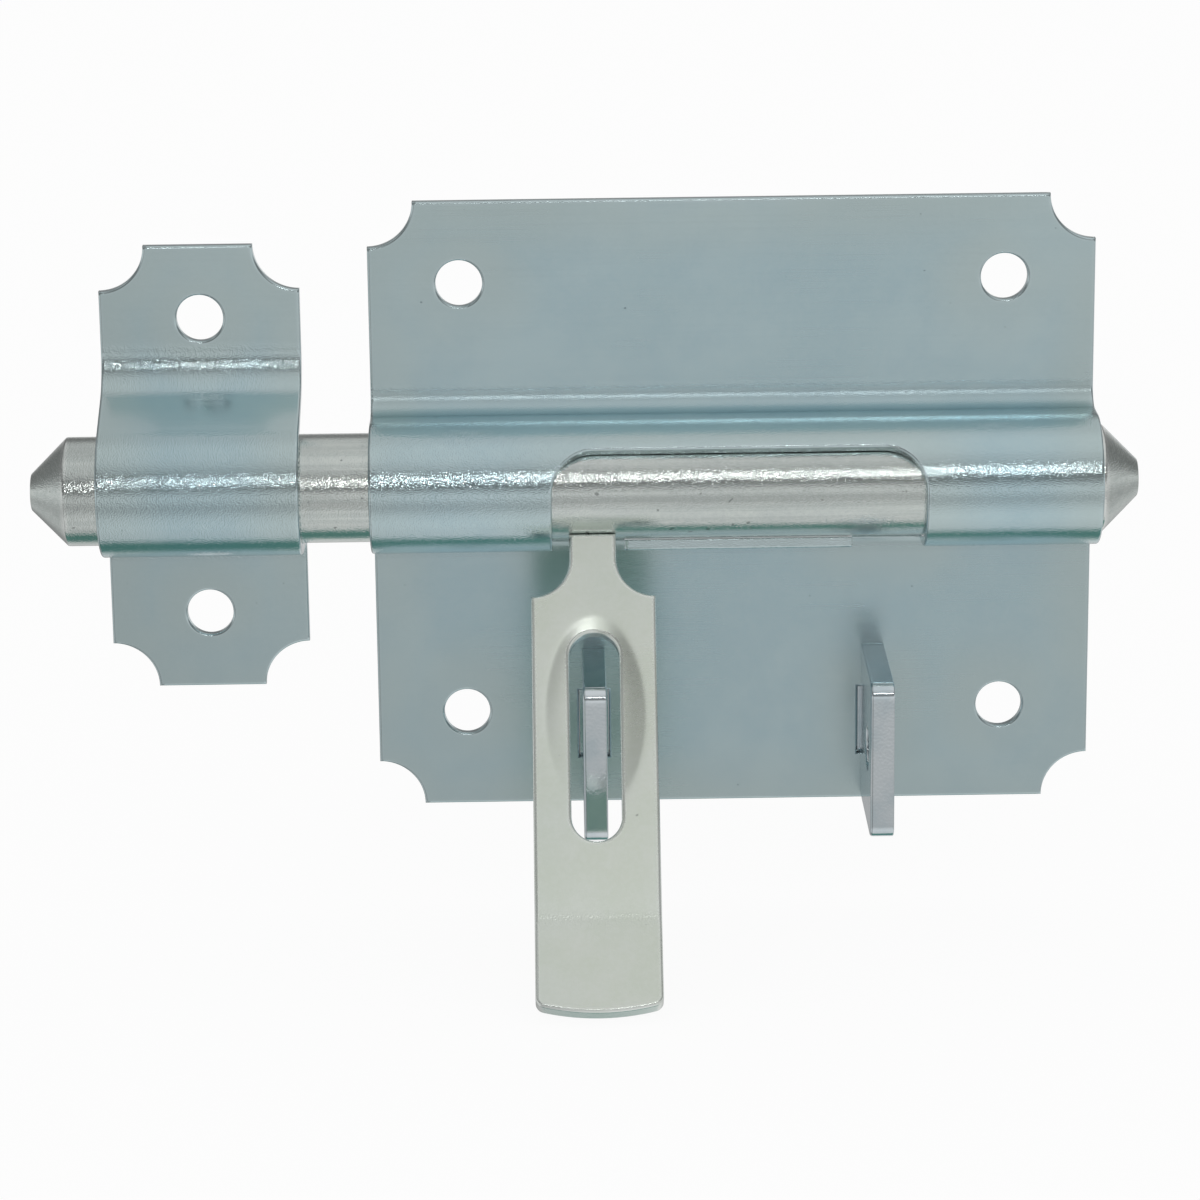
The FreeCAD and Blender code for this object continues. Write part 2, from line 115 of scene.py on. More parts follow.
def arc(centre: Sequence[float], radius: float, first: float, last: float, step: float = 0.6) -> np.ndarray:
    """Return points on an arc: the centre plus the radius along each angle between the two.

    Args:
        centre: Middle of the arc.
        radius: Its radius.
        first: Angle in degrees where it starts.
        last: Angle in degrees where it ends.
        step: Largest distance between points.

    Returns:
        Points of shape (n, 2), both ends among them.
    """
    count = max(4, int(abs(math.radians(last - first)) * radius / step) + 1)
    angle = np.radians(np.linspace(first, last, count))
    return np.stack([centre[0] + radius * np.cos(angle), centre[1] + radius * np.sin(angle)], axis=1)


def closed(parts: Sequence[np.ndarray], step: float = 0.9) -> np.ndarray:
    """Join runs of points into one closed outline and divide its long edges evenly.

    Args:
        parts: Runs of points of shape (n, 2), in order.
        step: Largest distance between neighbours afterwards.

    Returns:
        Points of shape (n, 2), without the first repeated at the end.
    """
    points = np.concatenate([np.atleast_2d(np.asarray(part, float)) for part in parts])
    keep = np.linalg.norm(points - np.roll(points, 1, axis=0), axis=1) > 1e-6
    points = points[keep]
    ahead = np.roll(points, -1, axis=0)
    counts = np.maximum(1, np.ceil(np.linalg.norm(ahead - points, axis=1) / step).astype(int))
    start = np.repeat(points, counts, axis=0)
    run = np.repeat(ahead - points, counts, axis=0)
    within = np.arange(counts.sum()) - np.repeat(np.cumsum(counts) - counts, counts)
    return start + run * (within / np.repeat(counts, counts))[:, None]


def circle(centre: Sequence[float], radius: float) -> np.ndarray:
    """Return a closed circle as an outline."""
    return arc(centre, radius, 0.0, 360.0, 0.45)[:-1]


def scooped_rectangle(left: float, right: float, low: float, high: float, scoop: float) -> np.ndarray:
    """Return a rectangle whose four corners are cut away by circles round the corner points."""
    return closed(
        [
            arc((left, low), scoop, 90.0, 0.0),
            arc((right, low), scoop, 180.0, 90.0),
            arc((right, high), scoop, 270.0, 180.0),
            arc((left, high), scoop, 360.0, 270.0),
        ]
    )


def inward(loop: np.ndarray) -> np.ndarray:
    """Return for each point the vector that moves its outline by one unit into the material.

    The material lies to the left. The vector is the sum of the two edges' left normals over one plus
    their dot product, so that every edge moves by exactly one unit.
    """
    ahead = np.roll(loop, -1, axis=0) - loop
    ahead /= np.linalg.norm(ahead, axis=1)[:, None]
    left = np.stack([-ahead[:, 1], ahead[:, 0]], axis=1)
    before = np.roll(left, 1, axis=0)
    return (left + before) / (1.0 + np.sum(left * before, axis=1))[:, None]


def slid(loop: np.ndarray, reach: float) -> np.ndarray:
    """Return the inward vectors, with the neighbours of sharp corners moved along their edge.

    At a corner the inward vector has a part along each edge. That part fades to nothing over two and a
    half times the reach, or by the next corner, so that no point is overtaken by its corner.

    Args:
        loop: Closed outline with the material on its left.
        reach: How far it will be moved at most.

    Returns:
        Vectors of shape (n, 2).
    """
    ahead = np.roll(loop, -1, axis=0) - loop
    lengths = np.linalg.norm(ahead, axis=1)
    ahead /= lengths[:, None]
    before = np.roll(ahead, 1, axis=0)
    turn = np.arctan2(
        before[:, 0] * ahead[:, 1] - before[:, 1] * ahead[:, 0], np.sum(before * ahead, axis=1)
    )
    corners = np.flatnonzero(np.abs(turn) > math.radians(25.0))
    position, total = np.cumsum(lengths) - lengths, float(lengths.sum())
    tangent = ahead + before
    tangent /= np.maximum(np.linalg.norm(tangent, axis=1), 1e-9)[:, None]
    vectors = inward(loop)
    moved = vectors.copy()
    for number, corner in enumerate(corners):
        for sign, edge in ((1, ahead[corner]), (-1, before[corner])):
            neighbour = corners[(number + sign) % len(corners)]
            gap = (sign * (position[neighbour] - position[corner])) % total or total
            span = min(2.5 * reach, gap)
            away = (sign * (position - position[corner])) % total
            weight = np.where((away > 0) & (away < span), 1 - away / span, 0.0)
            moved += float(vectors[corner] @ edge) * weight[:, None] * tangent
    return moved


# Folded middle surfaces


@dataclass(frozen=True)
class FoldedPath:
    """Middle line of a bent sheet in the YZ plane, from its upper end on.

    A heading of 0 points straight down and 90 straight forward from the door. Each run has a length and
    the angle that it turns by. At a distance d into a run, the place is the run's start plus d times
    sinc(half of the angle turned so far) along the heading half way, which is exact for line and arc.
    """

    start: tuple[float, float]
    heading: float
    runs: tuple[tuple[float, float], ...]

    def begins(self) -> np.ndarray:
        """Return the distance at which each run begins, and the path's whole length last."""
        return np.concatenate([[0.0], np.cumsum([length for length, _ in self.runs])])

    def at(self, distance: np.ndarray) -> tuple[np.ndarray, np.ndarray, np.ndarray]:
        """Return the Y, the Z and the heading in radians at each distance."""
        lengths = np.array([length for length, _ in self.runs])
        turns = np.radians([turn for _, turn in self.runs])
        headings = math.radians(self.heading) + np.concatenate([[0.0], np.cumsum(turns)])
        half = headings[:-1] + turns / 2
        chord = lengths * np.sinc(turns / 2 / np.pi)
        y_start = self.start[0] - np.concatenate([[0.0], np.cumsum(chord * np.sin(half))])
        z_start = self.start[1] - np.concatenate([[0.0], np.cumsum(chord * np.cos(half))])
        begins = self.begins()
        run = np.clip(np.searchsorted(begins, distance, side="right") - 1, 0, len(lengths) - 1)
        into = distance - begins[run]
        turned = turns[run] * into / lengths[run]
        reach = into * np.sinc(turned / 2 / np.pi)
        middle = headings[run] + turned / 2
        y = y_start[run] - reach * np.sin(middle)
        z = z_start[run] - reach * np.cos(middle)
        return y, z, headings[run] + turned

    def formed(self, distance: np.ndarray) -> np.ndarray:
        """Return how strongly the sheet is bent: its turn over three millimetres, one at 0.15 radians."""
        half = 1.5
        _, _, before = self.at(distance - half)
        _, _, after = self.at(distance + half)
        return np.clip((after - before) / 0.15, -1.0, 1.0)

    def rows(self, flat_step: float, turn_step: float) -> np.ndarray:
        """Return distances for mesh rows: every flat step on a line, every turn step on an arc."""
        rows = [
            np.linspace(0.0, length, max(2, int(max(length / flat_step, abs(turn) / turn_step)) + 2))[:-1]
            for length, turn in self.runs
        ]
        return np.concatenate([begin + row for begin, row in zip(self.begins(), rows)])


@dataclass(frozen=True)
class Bar:
    """Bent sheet or bar that runs along X: a flat point (u, v) lies at X = u, v along the path."""

    path: FoldedPath
    middle: float = 0.0

    def frame_at(
        self, u: np.ndarray, v: np.ndarray
    ) -> tuple[np.ndarray, np.ndarray, np.ndarray, np.ndarray]:
        """Return the place on the middle surface and the unit vectors along u, along v and to the front."""
        y, z, heading = self.path.at(v)
        zero, one = np.zeros_like(y), np.ones_like(y)
        place = np.stack([self.middle + u, y, z], axis=1)
        along_u = np.stack([one, zero, zero], axis=1)
        along_v = np.stack([zero, -np.sin(heading), -np.cos(heading)], axis=1)
        front = np.stack([zero, -np.cos(heading), np.sin(heading)], axis=1)
        return place, along_u, along_v, front

    def formed(self, v: np.ndarray) -> np.ndarray:
        """Return how strongly the bar is bent, above zero where its front is hollow."""
        return self.path.formed(v)


@dataclass(frozen=True)
class Lug:
    """Flat lug that stands square to the door: u runs forward, v down, and its front faces left."""

    middle: float

    def frame_at(
        self, u: np.ndarray, v: np.ndarray
    ) -> tuple[np.ndarray, np.ndarray, np.ndarray, np.ndarray]:
        """Return the place on the middle surface and the unit vectors along u, along v and to the left."""
        zero, one = np.zeros_like(u), np.ones_like(u)
        place = np.stack([zero + self.middle, -u, -v], axis=1)
        along_u = np.stack([zero, -one, zero], axis=1)
        along_v = np.stack([zero, zero, -one], axis=1)
        return place, along_u, along_v, np.stack([-one, zero, zero], axis=1)

    def formed(self, v: np.ndarray) -> np.ndarray:
        """Return no bend anywhere."""
        return np.zeros_like(v)


Surface = Callable[[np.ndarray, np.ndarray], np.ndarray]


def slope_of(surface: Surface, u: np.ndarray, v: np.ndarray) -> tuple[np.ndarray, np.ndarray]:
    """Return a height function's slopes along u and v, from differences over a tenth of a millimetre."""
    half = 0.05
    along_u = (surface(u + half, v) - surface(u - half, v)) / (2 * half)
    along_v = (surface(u, v + half) - surface(u, v - half)) / (2 * half)
    return along_u, along_v


def level(u: np.ndarray, v: np.ndarray) -> np.ndarray:
    """Return no height anywhere."""
    return np.zeros_like(u)


@dataclass(frozen=True)
class Blank:
    """A piece cut from flat stock with outlines, whose edges are rolled over and whose body is then bent.

    A point of the piece is place(u, v) + t * front(u, v), where place and front come from the form, and t
    runs through the thickness from the back to the front. The rows of the edge are the outlines, moved
    into the material by r * (1 - sin a) at the depth r * (1 - cos a) below each face, for a from 0 to 90
    degrees. The dent lowers the front face and leaves the back. The lean moves a cut by t times its number
    along v, so that a cut can stand plumb where the sheet itself slopes.
    """

    form: Bar | Lug
    thickness: float
    outlines: tuple[np.ndarray, ...]
    grid_u: np.ndarray
    grid_v: np.ndarray
    front_round: float = 0.5
    back_round: float = 0.25
    support: float = 0.35
    dent: Surface = level
    lean: Surface = level

    def edge_rows(self) -> tuple[np.ndarray, np.ndarray, np.ndarray]:
        """Return each edge row's inset, its place in the thickness and its angle from the front."""
        half, steps = self.thickness / 2, np.radians([0.0, 22.5, 45.0, 67.5, 90.0])
        front, back = self.front_round, self.back_round
        inset = np.concatenate(
            [
                [front + self.support],
                front * (1 - np.sin(steps)),
                back * (1 - np.cos(steps)),
                [back + self.support],
            ]
        )
        depth = np.concatenate(
            [[half], half - front * (1 - np.cos(steps)), -half + back * (1 - np.sin(steps)), [-half]]
        )
        angle = np.concatenate([[0.0], steps, steps + np.pi / 2, [np.pi]])
        return inset, depth, angle

    def face_points(self, rims: Sequence[np.ndarray]) -> np.ndarray:
        """Return the grid's points that keep clear of the given rims."""
        u, v = np.meshgrid(self.grid_u, self.grid_v, indexing="ij")
        points = np.stack([u.ravel(), v.ravel()], axis=1)
        keep = distance_to(points, np.concatenate(rims)) > RIM_CLEAR
        return points[keep]

    def build(self, name: str) -> bpy.types.Object:
        """Build the piece's mesh.

        Args:
            name: Name of the new object.

        Returns:
            A mesh object at the origin, with its edge distance as an attribute and its own normals.
        """
        inset, depth, angle = self.edge_rows()
        places, fronts, normals, edges, faces = [], [], [], [], []
        count = 0
        loops = [
            loop if (signed_area(loop) > 0) == (number == 0) else loop[::-1]
            for number, loop in enumerate(self.outlines)
        ]
        first_rims, last_rims = [], []
        first_index, last_index = [], []
        rows = len(inset)
        for loop in loops:
            moved = loop[None] + inset[:, None, None] * slid(loop, float(inset.max()))[None]
            u, v = moved[..., 0].ravel(), moved[..., 1].ravel()
            size = len(loop)
            t, turn = np.repeat(depth, size), np.repeat(angle, size)
            outward = -np.tile(inward(loop), (rows, 1))
            outward /= np.linalg.norm(outward, axis=1)[:, None]
            place, normal = self.lift(u, v, t, turn, outward)
            places.append(place)
            normals.append(normal)
            fronts.append(np.stack([u, v], axis=1))
            edges.append(np.repeat(inset, size))
            grid = count + np.arange(rows * size).reshape(rows, size)
            ahead = np.roll(grid, -1, axis=1)
            quads = np.stack([grid[:-1], ahead[:-1], ahead[1:], grid[1:]], axis=-1).reshape(-1, 4)
            faces += quads.tolist()
            first_rims.append(moved[0])
            last_rims.append(moved[-1])
            first_index.append(grid[0])
            last_index.append(grid[-1])
            count += rows * size
        every_loop = np.concatenate(loops)
        for rims, index, side in ((first_rims, first_index, 1.0), (last_rims, last_index, -1.0)):
            inner = self.face_points(rims)
            triangles = fill(rims, inner)
            t = np.full(len(inner), side * self.thickness / 2)
            turn = np.full(len(inner), 0.0 if side > 0 else np.pi)
            place, normal = self.lift(inner[:, 0], inner[:, 1], t, turn, np.zeros_like(inner))
            numbers = np.concatenate([np.concatenate(index), count + np.arange(len(inner))])
            points = np.concatenate([np.concatenate(rims), inner])
            corner = points[triangles]
            turn_way = np.cross(corner[:, 1] - corner[:, 0], corner[:, 2] - corner[:, 0])
            flip = (turn_way > 0) == (side > 0)
            triangles[flip] = triangles[flip][:, ::-1]
            faces += numbers[triangles].tolist()
            places.append(place)
            normals.append(normal)
            fronts.append(inner)
            edges.append(distance_to(inner, every_loop))
            count += len(inner)
        flat = np.concatenate(fronts)
        bend = self.form.formed(flat[:, 1])
        return mesh_object(
            name,
            np.concatenate(places) * MM,
            faces,
            np.concatenate(normals),
            {"edge": np.concatenate(edges), "bent": np.abs(bend), "hollow": np.clip(bend, 0.0, 1.0)},
            flat * MM,
        )

    def lift(
        self, u: np.ndarray, v: np.ndarray, t: np.ndarray, turn: np.ndarray, outward: np.ndarray
    ) -> tuple[np.ndarray, np.ndarray]:
        """Carry flat points to their places and work out the normals there.

        Args:
            u: Flat points across.
            v: Flat points along the path.
            t: Their places in the thickness, from the middle.
            turn: Their angles from the front face's normal, in radians.
            outward: Directions out of the material, in the flat plane.

        Returns:
            Places and unit normals, of shape (n, 3).
        """
        place, along_u, along_v, front = self.form.frame_at(u, v)
        share = 0.5 + t / self.thickness
        lean = self.lean(u, v)
        place = place + (t - share * self.dent(u, v))[:, None] * front + (t * lean)[:, None] * along_v
        out = outward[:, :1] * along_u + outward[:, 1:] * along_v - (outward[:, 1] * lean)[:, None] * front
        dent_u, dent_v = slope_of(self.dent, u, v)
        facing = front + (share * dent_u)[:, None] * along_u + (share * dent_v)[:, None] * along_v
        normal = np.cos(turn)[:, None] * facing + np.sin(turn)[:, None] * out
        return place, normal / np.linalg.norm(normal, axis=1)[:, None]


def distance_to(points: np.ndarray, others: np.ndarray) -> np.ndarray:
    """Return each point's distance to the nearest of the others, a thousand points at a time."""
    parts = [
        np.sqrt(((part[:, None] - others[None]) ** 2).sum(axis=2).min(axis=1))
        for part in np.array_split(points, max(1, len(points) // 1000))
        if len(part)
    ]
    return np.concatenate(parts) if parts else np.zeros(0)


def within(points: np.ndarray, rims: Sequence[np.ndarray]) -> np.ndarray:
    """Return which points lie in the material: those whose ray along +u crosses the rims an odd time."""
    crossings = np.zeros(len(points), int)
    for rim in rims:
        ahead = np.roll(rim, -1, axis=0)
        above = rim[None, :, 1] > points[:, None, 1]
        above_ahead = ahead[None, :, 1] > points[:, None, 1]
        rise = ahead[:, 1] - rim[:, 1]
        share = (points[:, None, 1] - rim[None, :, 1]) / np.where(rise == 0, 1.0, rise)[None]
        meets = rim[None, :, 0] + share * (ahead - rim)[None, :, 0]
        crossings += ((above != above_ahead) & (meets > points[:, None, 0])).sum(axis=1)
    return crossings % 2 == 1


def fill(rims: Sequence[np.ndarray], inner: np.ndarray) -> np.ndarray:
    """Divide the area between closed rims into triangles through the inner points.

    Args:
        rims: Closed outlines, the outer one first and then the holes.
        inner: Further points to use.

    Returns:
        Triangles as indices into the rims' points and then the inner ones.
    """
    points = np.concatenate([*rims, inner])
    edges, start = [], 0
    for rim in rims:
        numbers = start + np.arange(len(rim))
        edges += np.stack([numbers, np.roll(numbers, -1)], axis=1).tolist()
        start += len(rim)
    out = delaunay_2d_cdt([Vector(p) for p in points.tolist()], edges, [], 0, 1e-7, True)
    if len(out[0]) != len(points):
        raise ValueError("an outline crosses itself or meets a grid point")
    triangles = np.array(out[2])
    return triangles[within(points[triangles].mean(axis=1), rims)]


def mesh_object(
    name: str,
    places: np.ndarray,
    faces: list[list[int]],
    normals: np.ndarray,
    marks: dict[str, np.ndarray],
    flat: np.ndarray,
) -> bpy.types.Object:
    """Make a mesh object from whole arrays.

    Args:
        name: Name of the object and its mesh.
        places: Vertices of shape (n, 3), in metres.
        faces: Corners of each face.
        normals: Unit normal at each vertex.
        marks: Numbers at each vertex, by the name of their attribute.
        flat: Flat place of each vertex in metres, kept as a UV map.

    Returns:
        The linked object, at the origin.
    """
    mesh = bpy.data.meshes.new(name)
    used = np.zeros(len(places), bool)
    corners = np.array([corner for face in faces for corner in face])
    used[corners] = True
    renumber = np.cumsum(used) - 1
    faces = [[int(renumber[corner]) for corner in face] for face in faces]
    mesh.from_pydata(places[used], [], faces)
    mesh.polygons.foreach_set("use_smooth", np.ones(len(mesh.polygons), bool))
    for mark, numbers in marks.items():
        attribute = mesh.attributes.new(mark, "FLOAT", "POINT")
        attribute.data.foreach_set("value", numbers[used].astype(np.float32))
    layer = mesh.uv_layers.new(name="flat")
    corner_vertex = np.zeros(len(mesh.loops), np.int32)
    mesh.loops.foreach_get("vertex_index", corner_vertex)
    layer.data.foreach_set("uv", flat[used][corner_vertex].astype(np.float32).ravel())
    mesh.validate()
    mesh.normals_split_custom_set_from_vertices(normals[used].astype(np.float32))
    mesh.update()
    piece = bpy.data.objects.new(name, mesh)
    bpy.context.scene.collection.objects.link(piece)
    return piece


# Finishes


class NodeBoard:
    """Node tree of a material or a world, with short calls to add and join its nodes."""

    def __init__(self, owner: bpy.types.Material | bpy.types.World) -> None:
        """Take the owner's node tree and empty it."""
        owner.use_nodes = True
        self.owner = owner
        self.tree = owner.node_tree
        self.tree.nodes.clear()

    def add(self, kind: str, **settings: object) -> bpy.types.Node:
        """Add a node; settings with a capital letter go to its input sockets, the rest to the node."""
        node = self.tree.nodes.new("ShaderNode" + kind)
        for key, setting in settings.items():
            if key[0].isupper():
                self.feed(node.inputs[key.replace("_", " ")], setting)
            else:
                setattr(node, key, setting)
        return node

    def feed(self, socket: bpy.types.NodeSocket, source: object) -> None:
        """Link a socket to another node's socket, or give it a value."""
        if isinstance(source, bpy.types.NodeSocket):
            self.tree.links.new(source, socket)
        elif isinstance(source, tuple) and len(source) == 3 and socket.type == "RGBA":
            socket.default_value = (*source, 1.0)
        else:
            socket.default_value = source

    def place(self) -> bpy.types.NodeSocket:
        """Return the object coordinates, in metres."""
        return self.add("TexCoord").outputs["Object"]

    def mark(self, name: str) -> bpy.types.NodeSocket:
        """Return one of the mesh's own numbers."""
        return self.add("Attribute", attribute_name=name, attribute_type="GEOMETRY").outputs["Fac"]

    def stretched(self, scale: tuple[float, float, float]) -> bpy.types.NodeSocket:
        """Return the object coordinates, scaled by its own number along each axis."""
        return self.add("Mapping", Vector=self.place(), Scale=scale).outputs["Vector"]

    def noise(
        self, vector: bpy.types.NodeSocket, scale: float, detail: float = 2.0, rough: float = 0.5
    ) -> bpy.types.NodeSocket:
        """Return soft noise between about 0.3 and 0.7."""
        node = self.add("TexNoise", Vector=vector, Scale=scale, Detail=detail, Roughness=rough)
        return node.outputs["Fac"]

    def ramp(
        self,
        source: bpy.types.NodeSocket,
        low: float,
        high: float,
        out_low: float = 0.0,
        out_high: float = 1.0,
    ) -> bpy.types.NodeSocket:
        """Return the source mapped from one range to another, smoothly, and held at its ends."""
        node = self.add("MapRange", interpolation_type="SMOOTHSTEP")
        for number, setting in enumerate((source, low, high, out_low, out_high)):
            self.feed(node.inputs[number], setting)
        return node.outputs[0]

    def maths(self, operation: str, *terms: object) -> bpy.types.NodeSocket:
        """Return the result of a calculation on up to three terms."""
        node = self.add("Math", operation=operation)
        for number, term in enumerate(terms):
            self.feed(node.inputs[number], term)
        return node.outputs[0]

    def mix(self, share: object, first: object, second: object) -> bpy.types.NodeSocket:
        """Return two colours mixed by a share."""
        node = self.add("Mix", data_type="RGBA", blend_type="MIX")
        self.feed(node.inputs[0], share)
        self.feed(node.inputs[6], first)
        self.feed(node.inputs[7], second)
        return node.outputs[2]

    def blend(
        self, share: object, first: bpy.types.NodeSocket, second: bpy.types.NodeSocket
    ) -> bpy.types.NodeSocket:
        """Return two shaders mixed by a share."""
        node = self.add("MixShader")
        for number, source in enumerate((share, first, second)):
            self.feed(node.inputs[number], source)
        return node.outputs[0]

    def bump(
        self, height: bpy.types.NodeSocket, distance: float, under: bpy.types.NodeSocket | None = None
    ) -> bpy.types.NodeSocket:
        """Return a normal that is bent by a height, in metres, over the one under it."""
        node = self.add("Bump", Height=height, Distance=distance, Strength=1.0)
        if under is not None:
            self.feed(node.inputs["Normal"], under)
        return node.outputs["Normal"]


@dataclass(frozen=True)
class ZincFinish:
    """Zinc plating on steel: cloudy colour, fine grain, drawn streaks, dark pits and bright worn edges.

    Colours are linear. The grain and streak heights are in metres. The streak scale is how closely the
    lines of noise lie along each axis. Flat grain is the share of the grain that flat parts keep, flat
    rough is what they add to the roughness, and hollow rough is what a hollow bend adds to the roughness.
    Hollow shade is painted shade: the share by which a hollow bend darkens the colour, for the dark line
    in a crease. The rim colour is a painted sheen: it tints the sheet lighter near its edges by rim sheen,
    for the brighter reflection there.
    """

    name: str
    slot: str
    colour: tuple[float, float, float]
    cloud: tuple[float, float, float]
    deep: tuple[float, float, float]
    edge: tuple[float, float, float]
    rim: tuple[float, float, float] = (0.58, 0.67, 0.65)
    metallic: float = 1.0
    roughness: float = 0.10
    roughness_swing: float = 0.03
    grain: float = 0.000036
    grain_scale: float = 3800.0
    flat_grain: float = 0.04
    flat_rough: float = 0.0
    hollow_rough: float = 0.0
    hollow_shade: float = 0.0
    streak: float = 0.0000005
    streak_scale: tuple[float, float, float] = (30.0, 1500.0, 1500.0)
    streak_share: float = 0.0
    pits: float = 0.80
    rim_sheen: float = 0.0

    def material(self) -> bpy.types.Material:
        """Build the finish's node tree and return its material."""
        board = NodeBoard(bpy.data.materials.new(self.name))
        place = board.place()
        clouds = board.noise(place, 85.0, 4.0, 0.6)
        wide = board.noise(place, 22.0, 2.0, 0.5)
        streaks = board.noise(board.stretched(self.streak_scale), 1.0, 3.0, 0.6)
        grain = board.noise(place, self.grain_scale, 0.0)
        fine = board.noise(place, self.grain_scale * 0.35, 2.0, 0.6)
        pits = board.noise(place, 620.0, 1.0, 0.4)

        colour = board.mix(board.ramp(clouds, 0.35, 0.65), self.colour, self.cloud)
        colour = board.mix(board.ramp(wide, 0.40, 0.66, 0.0, 0.35), colour, self.deep)
        # Painted sheen: the sheet is tinted lighter and warmer near its cut edges, for the brighter
        # reflection there.
        if self.rim_sheen:
            near = board.maths(
                "MULTIPLY",
                board.ramp(board.mark("edge"), 15.0, 1.0),
                board.ramp(wide, 0.3, 0.6, 0.5, 1.0),
            )
            colour = board.mix(board.maths("MULTIPLY", near, self.rim_sheen), colour, self.rim)
        streak_tone = board.ramp(streaks, 0.36, 0.64, 0.0, self.streak_share)
        colour = board.mix(streak_tone, colour, self.deep)
        colour = board.mix(board.ramp(fine, 0.35, 0.68, 0.0, 0.14), colour, self.edge)
        # Painted shade: hollow bends are darkened towards the deep colour, for the dark line in a crease.
        hollow = board.maths("MULTIPLY", board.mark("hollow"), self.hollow_shade)
        colour = board.mix(hollow, colour, tuple(0.35 * part for part in self.deep))
        pit_share = board.ramp(pits, self.pits, self.pits + 0.05, 0.0, 0.55)
        colour = board.mix(pit_share, colour, tuple(0.35 * part for part in self.deep))
        worn = board.maths(
            "MULTIPLY",
            board.ramp(board.mark("edge"), 1.1, 0.05),
            board.ramp(clouds, 0.3, 0.6, 0.45, 1.0),
        )
        colour = board.mix(worn, colour, self.edge)

        smooth = self.roughness - self.roughness_swing / 2
        rough = board.ramp(wide, 0.35, 0.65, smooth, self.roughness + self.roughness_swing)
        rough = board.maths("ADD", rough, board.ramp(streaks, 0.4, 0.7, 0.0, self.roughness_swing))
        rough = board.maths("SUBTRACT", rough, board.maths("MULTIPLY", worn, self.roughness * 0.3))
        rough = board.maths("ADD", rough, board.maths("MULTIPLY", board.mark("hollow"), self.hollow_rough))
        rough = board.maths("ADD", rough, board.ramp(board.mark("bent"), 0.0, 0.6, self.flat_rough, 0.0))

        bent = board.ramp(board.mark("bent"), 0.0, 1.0, self.flat_grain, 1.0)
        normal = board.bump(streaks, self.streak)
        normal = board.bump(board.maths("MULTIPLY", grain, bent), self.grain, normal)
        shader = board.add(
            "BsdfPrincipled", Base_Color=colour, Metallic=self.metallic, Roughness=rough, Normal=normal
        )
        output = board.add("OutputMaterial")
        board.feed(output.inputs["Surface"], shader.outputs["BSDF"])
        return board.owner


PLATE_ZINC = ZincFinish(
    name="plate_zinc",
    slot="plate_zinc",
    colour=(0.505, 0.655, 0.70),
    cloud=(0.54, 0.685, 0.72),
    deep=(0.43, 0.60, 0.655),
    edge=(0.60, 0.71, 0.73),
    # Rim sheen is a painted sheen near the edges; hollow shade is painted shade in the creases.
    rim_sheen=0.6,
    flat_rough=0.13,
    hollow_rough=0.20,
    streak=0.0,
    hollow_shade=0.08,
)
KEEPER_ZINC = replace(PLATE_ZINC, name="keeper_zinc", flat_rough=0.05, hollow_rough=0.0, hollow_shade=0.0)
STAPLE_ZINC = ZincFinish(
    name="staple_zinc",
    slot="staple_zinc",
    colour=(0.50, 0.62, 0.67),
    cloud=(0.56, 0.64, 0.69),
    deep=(0.38, 0.52, 0.57),
    edge=(0.74, 0.80, 0.83),
    roughness=0.14,
    grain=0.00002,
    grain_scale=1900.0,
    flat_grain=0.6,
    streak_scale=(900.0, 60.0, 900.0),
)
ROD_ZINC = ZincFinish(
    name="rod_zinc",
    slot="rod_zinc",
    colour=(0.66, 0.71, 0.69),
    cloud=(0.71, 0.76, 0.73),
    deep=(0.52, 0.58, 0.56),
    edge=(0.82, 0.85, 0.83),
    roughness=0.10,
    streak=0.000001,
    streak_scale=(16.0, 900.0, 900.0),
    streak_share=0.45,
    pits=0.74,
)
HANDLE_ZINC = ZincFinish(
    name="handle_zinc",
    slot="handle_zinc",
    colour=(0.735, 0.79, 0.70),
    cloud=(0.775, 0.82, 0.75),
    deep=(0.68, 0.76, 0.70),
    edge=(0.87, 0.91, 0.88),
    metallic=0.85,
    roughness=0.28,
    grain=0.00003,
    grain_scale=3000.0,
    flat_grain=0.15,
    pits=0.78,
)


def finish_piece(piece: bpy.types.Object, finish: ZincFinish, body: Body, *nodes: str) -> None:
    """Dress a piece, seat it on its body and let it stand for its CAD nodes.

    Args:
        piece: The new piece.
        finish: Its finish.
        body: The body that it rides on.
        nodes: Names of the CAD nodes that it replaces.
    """
    piece.data.materials.append(finish.material())
    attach(piece, body.value)
    if nodes:
        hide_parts(*nodes)
    LOG.info("%s: %d faces, on %s", piece.name, len(piece.data.polygons), body.value)


# Sub-assemblies


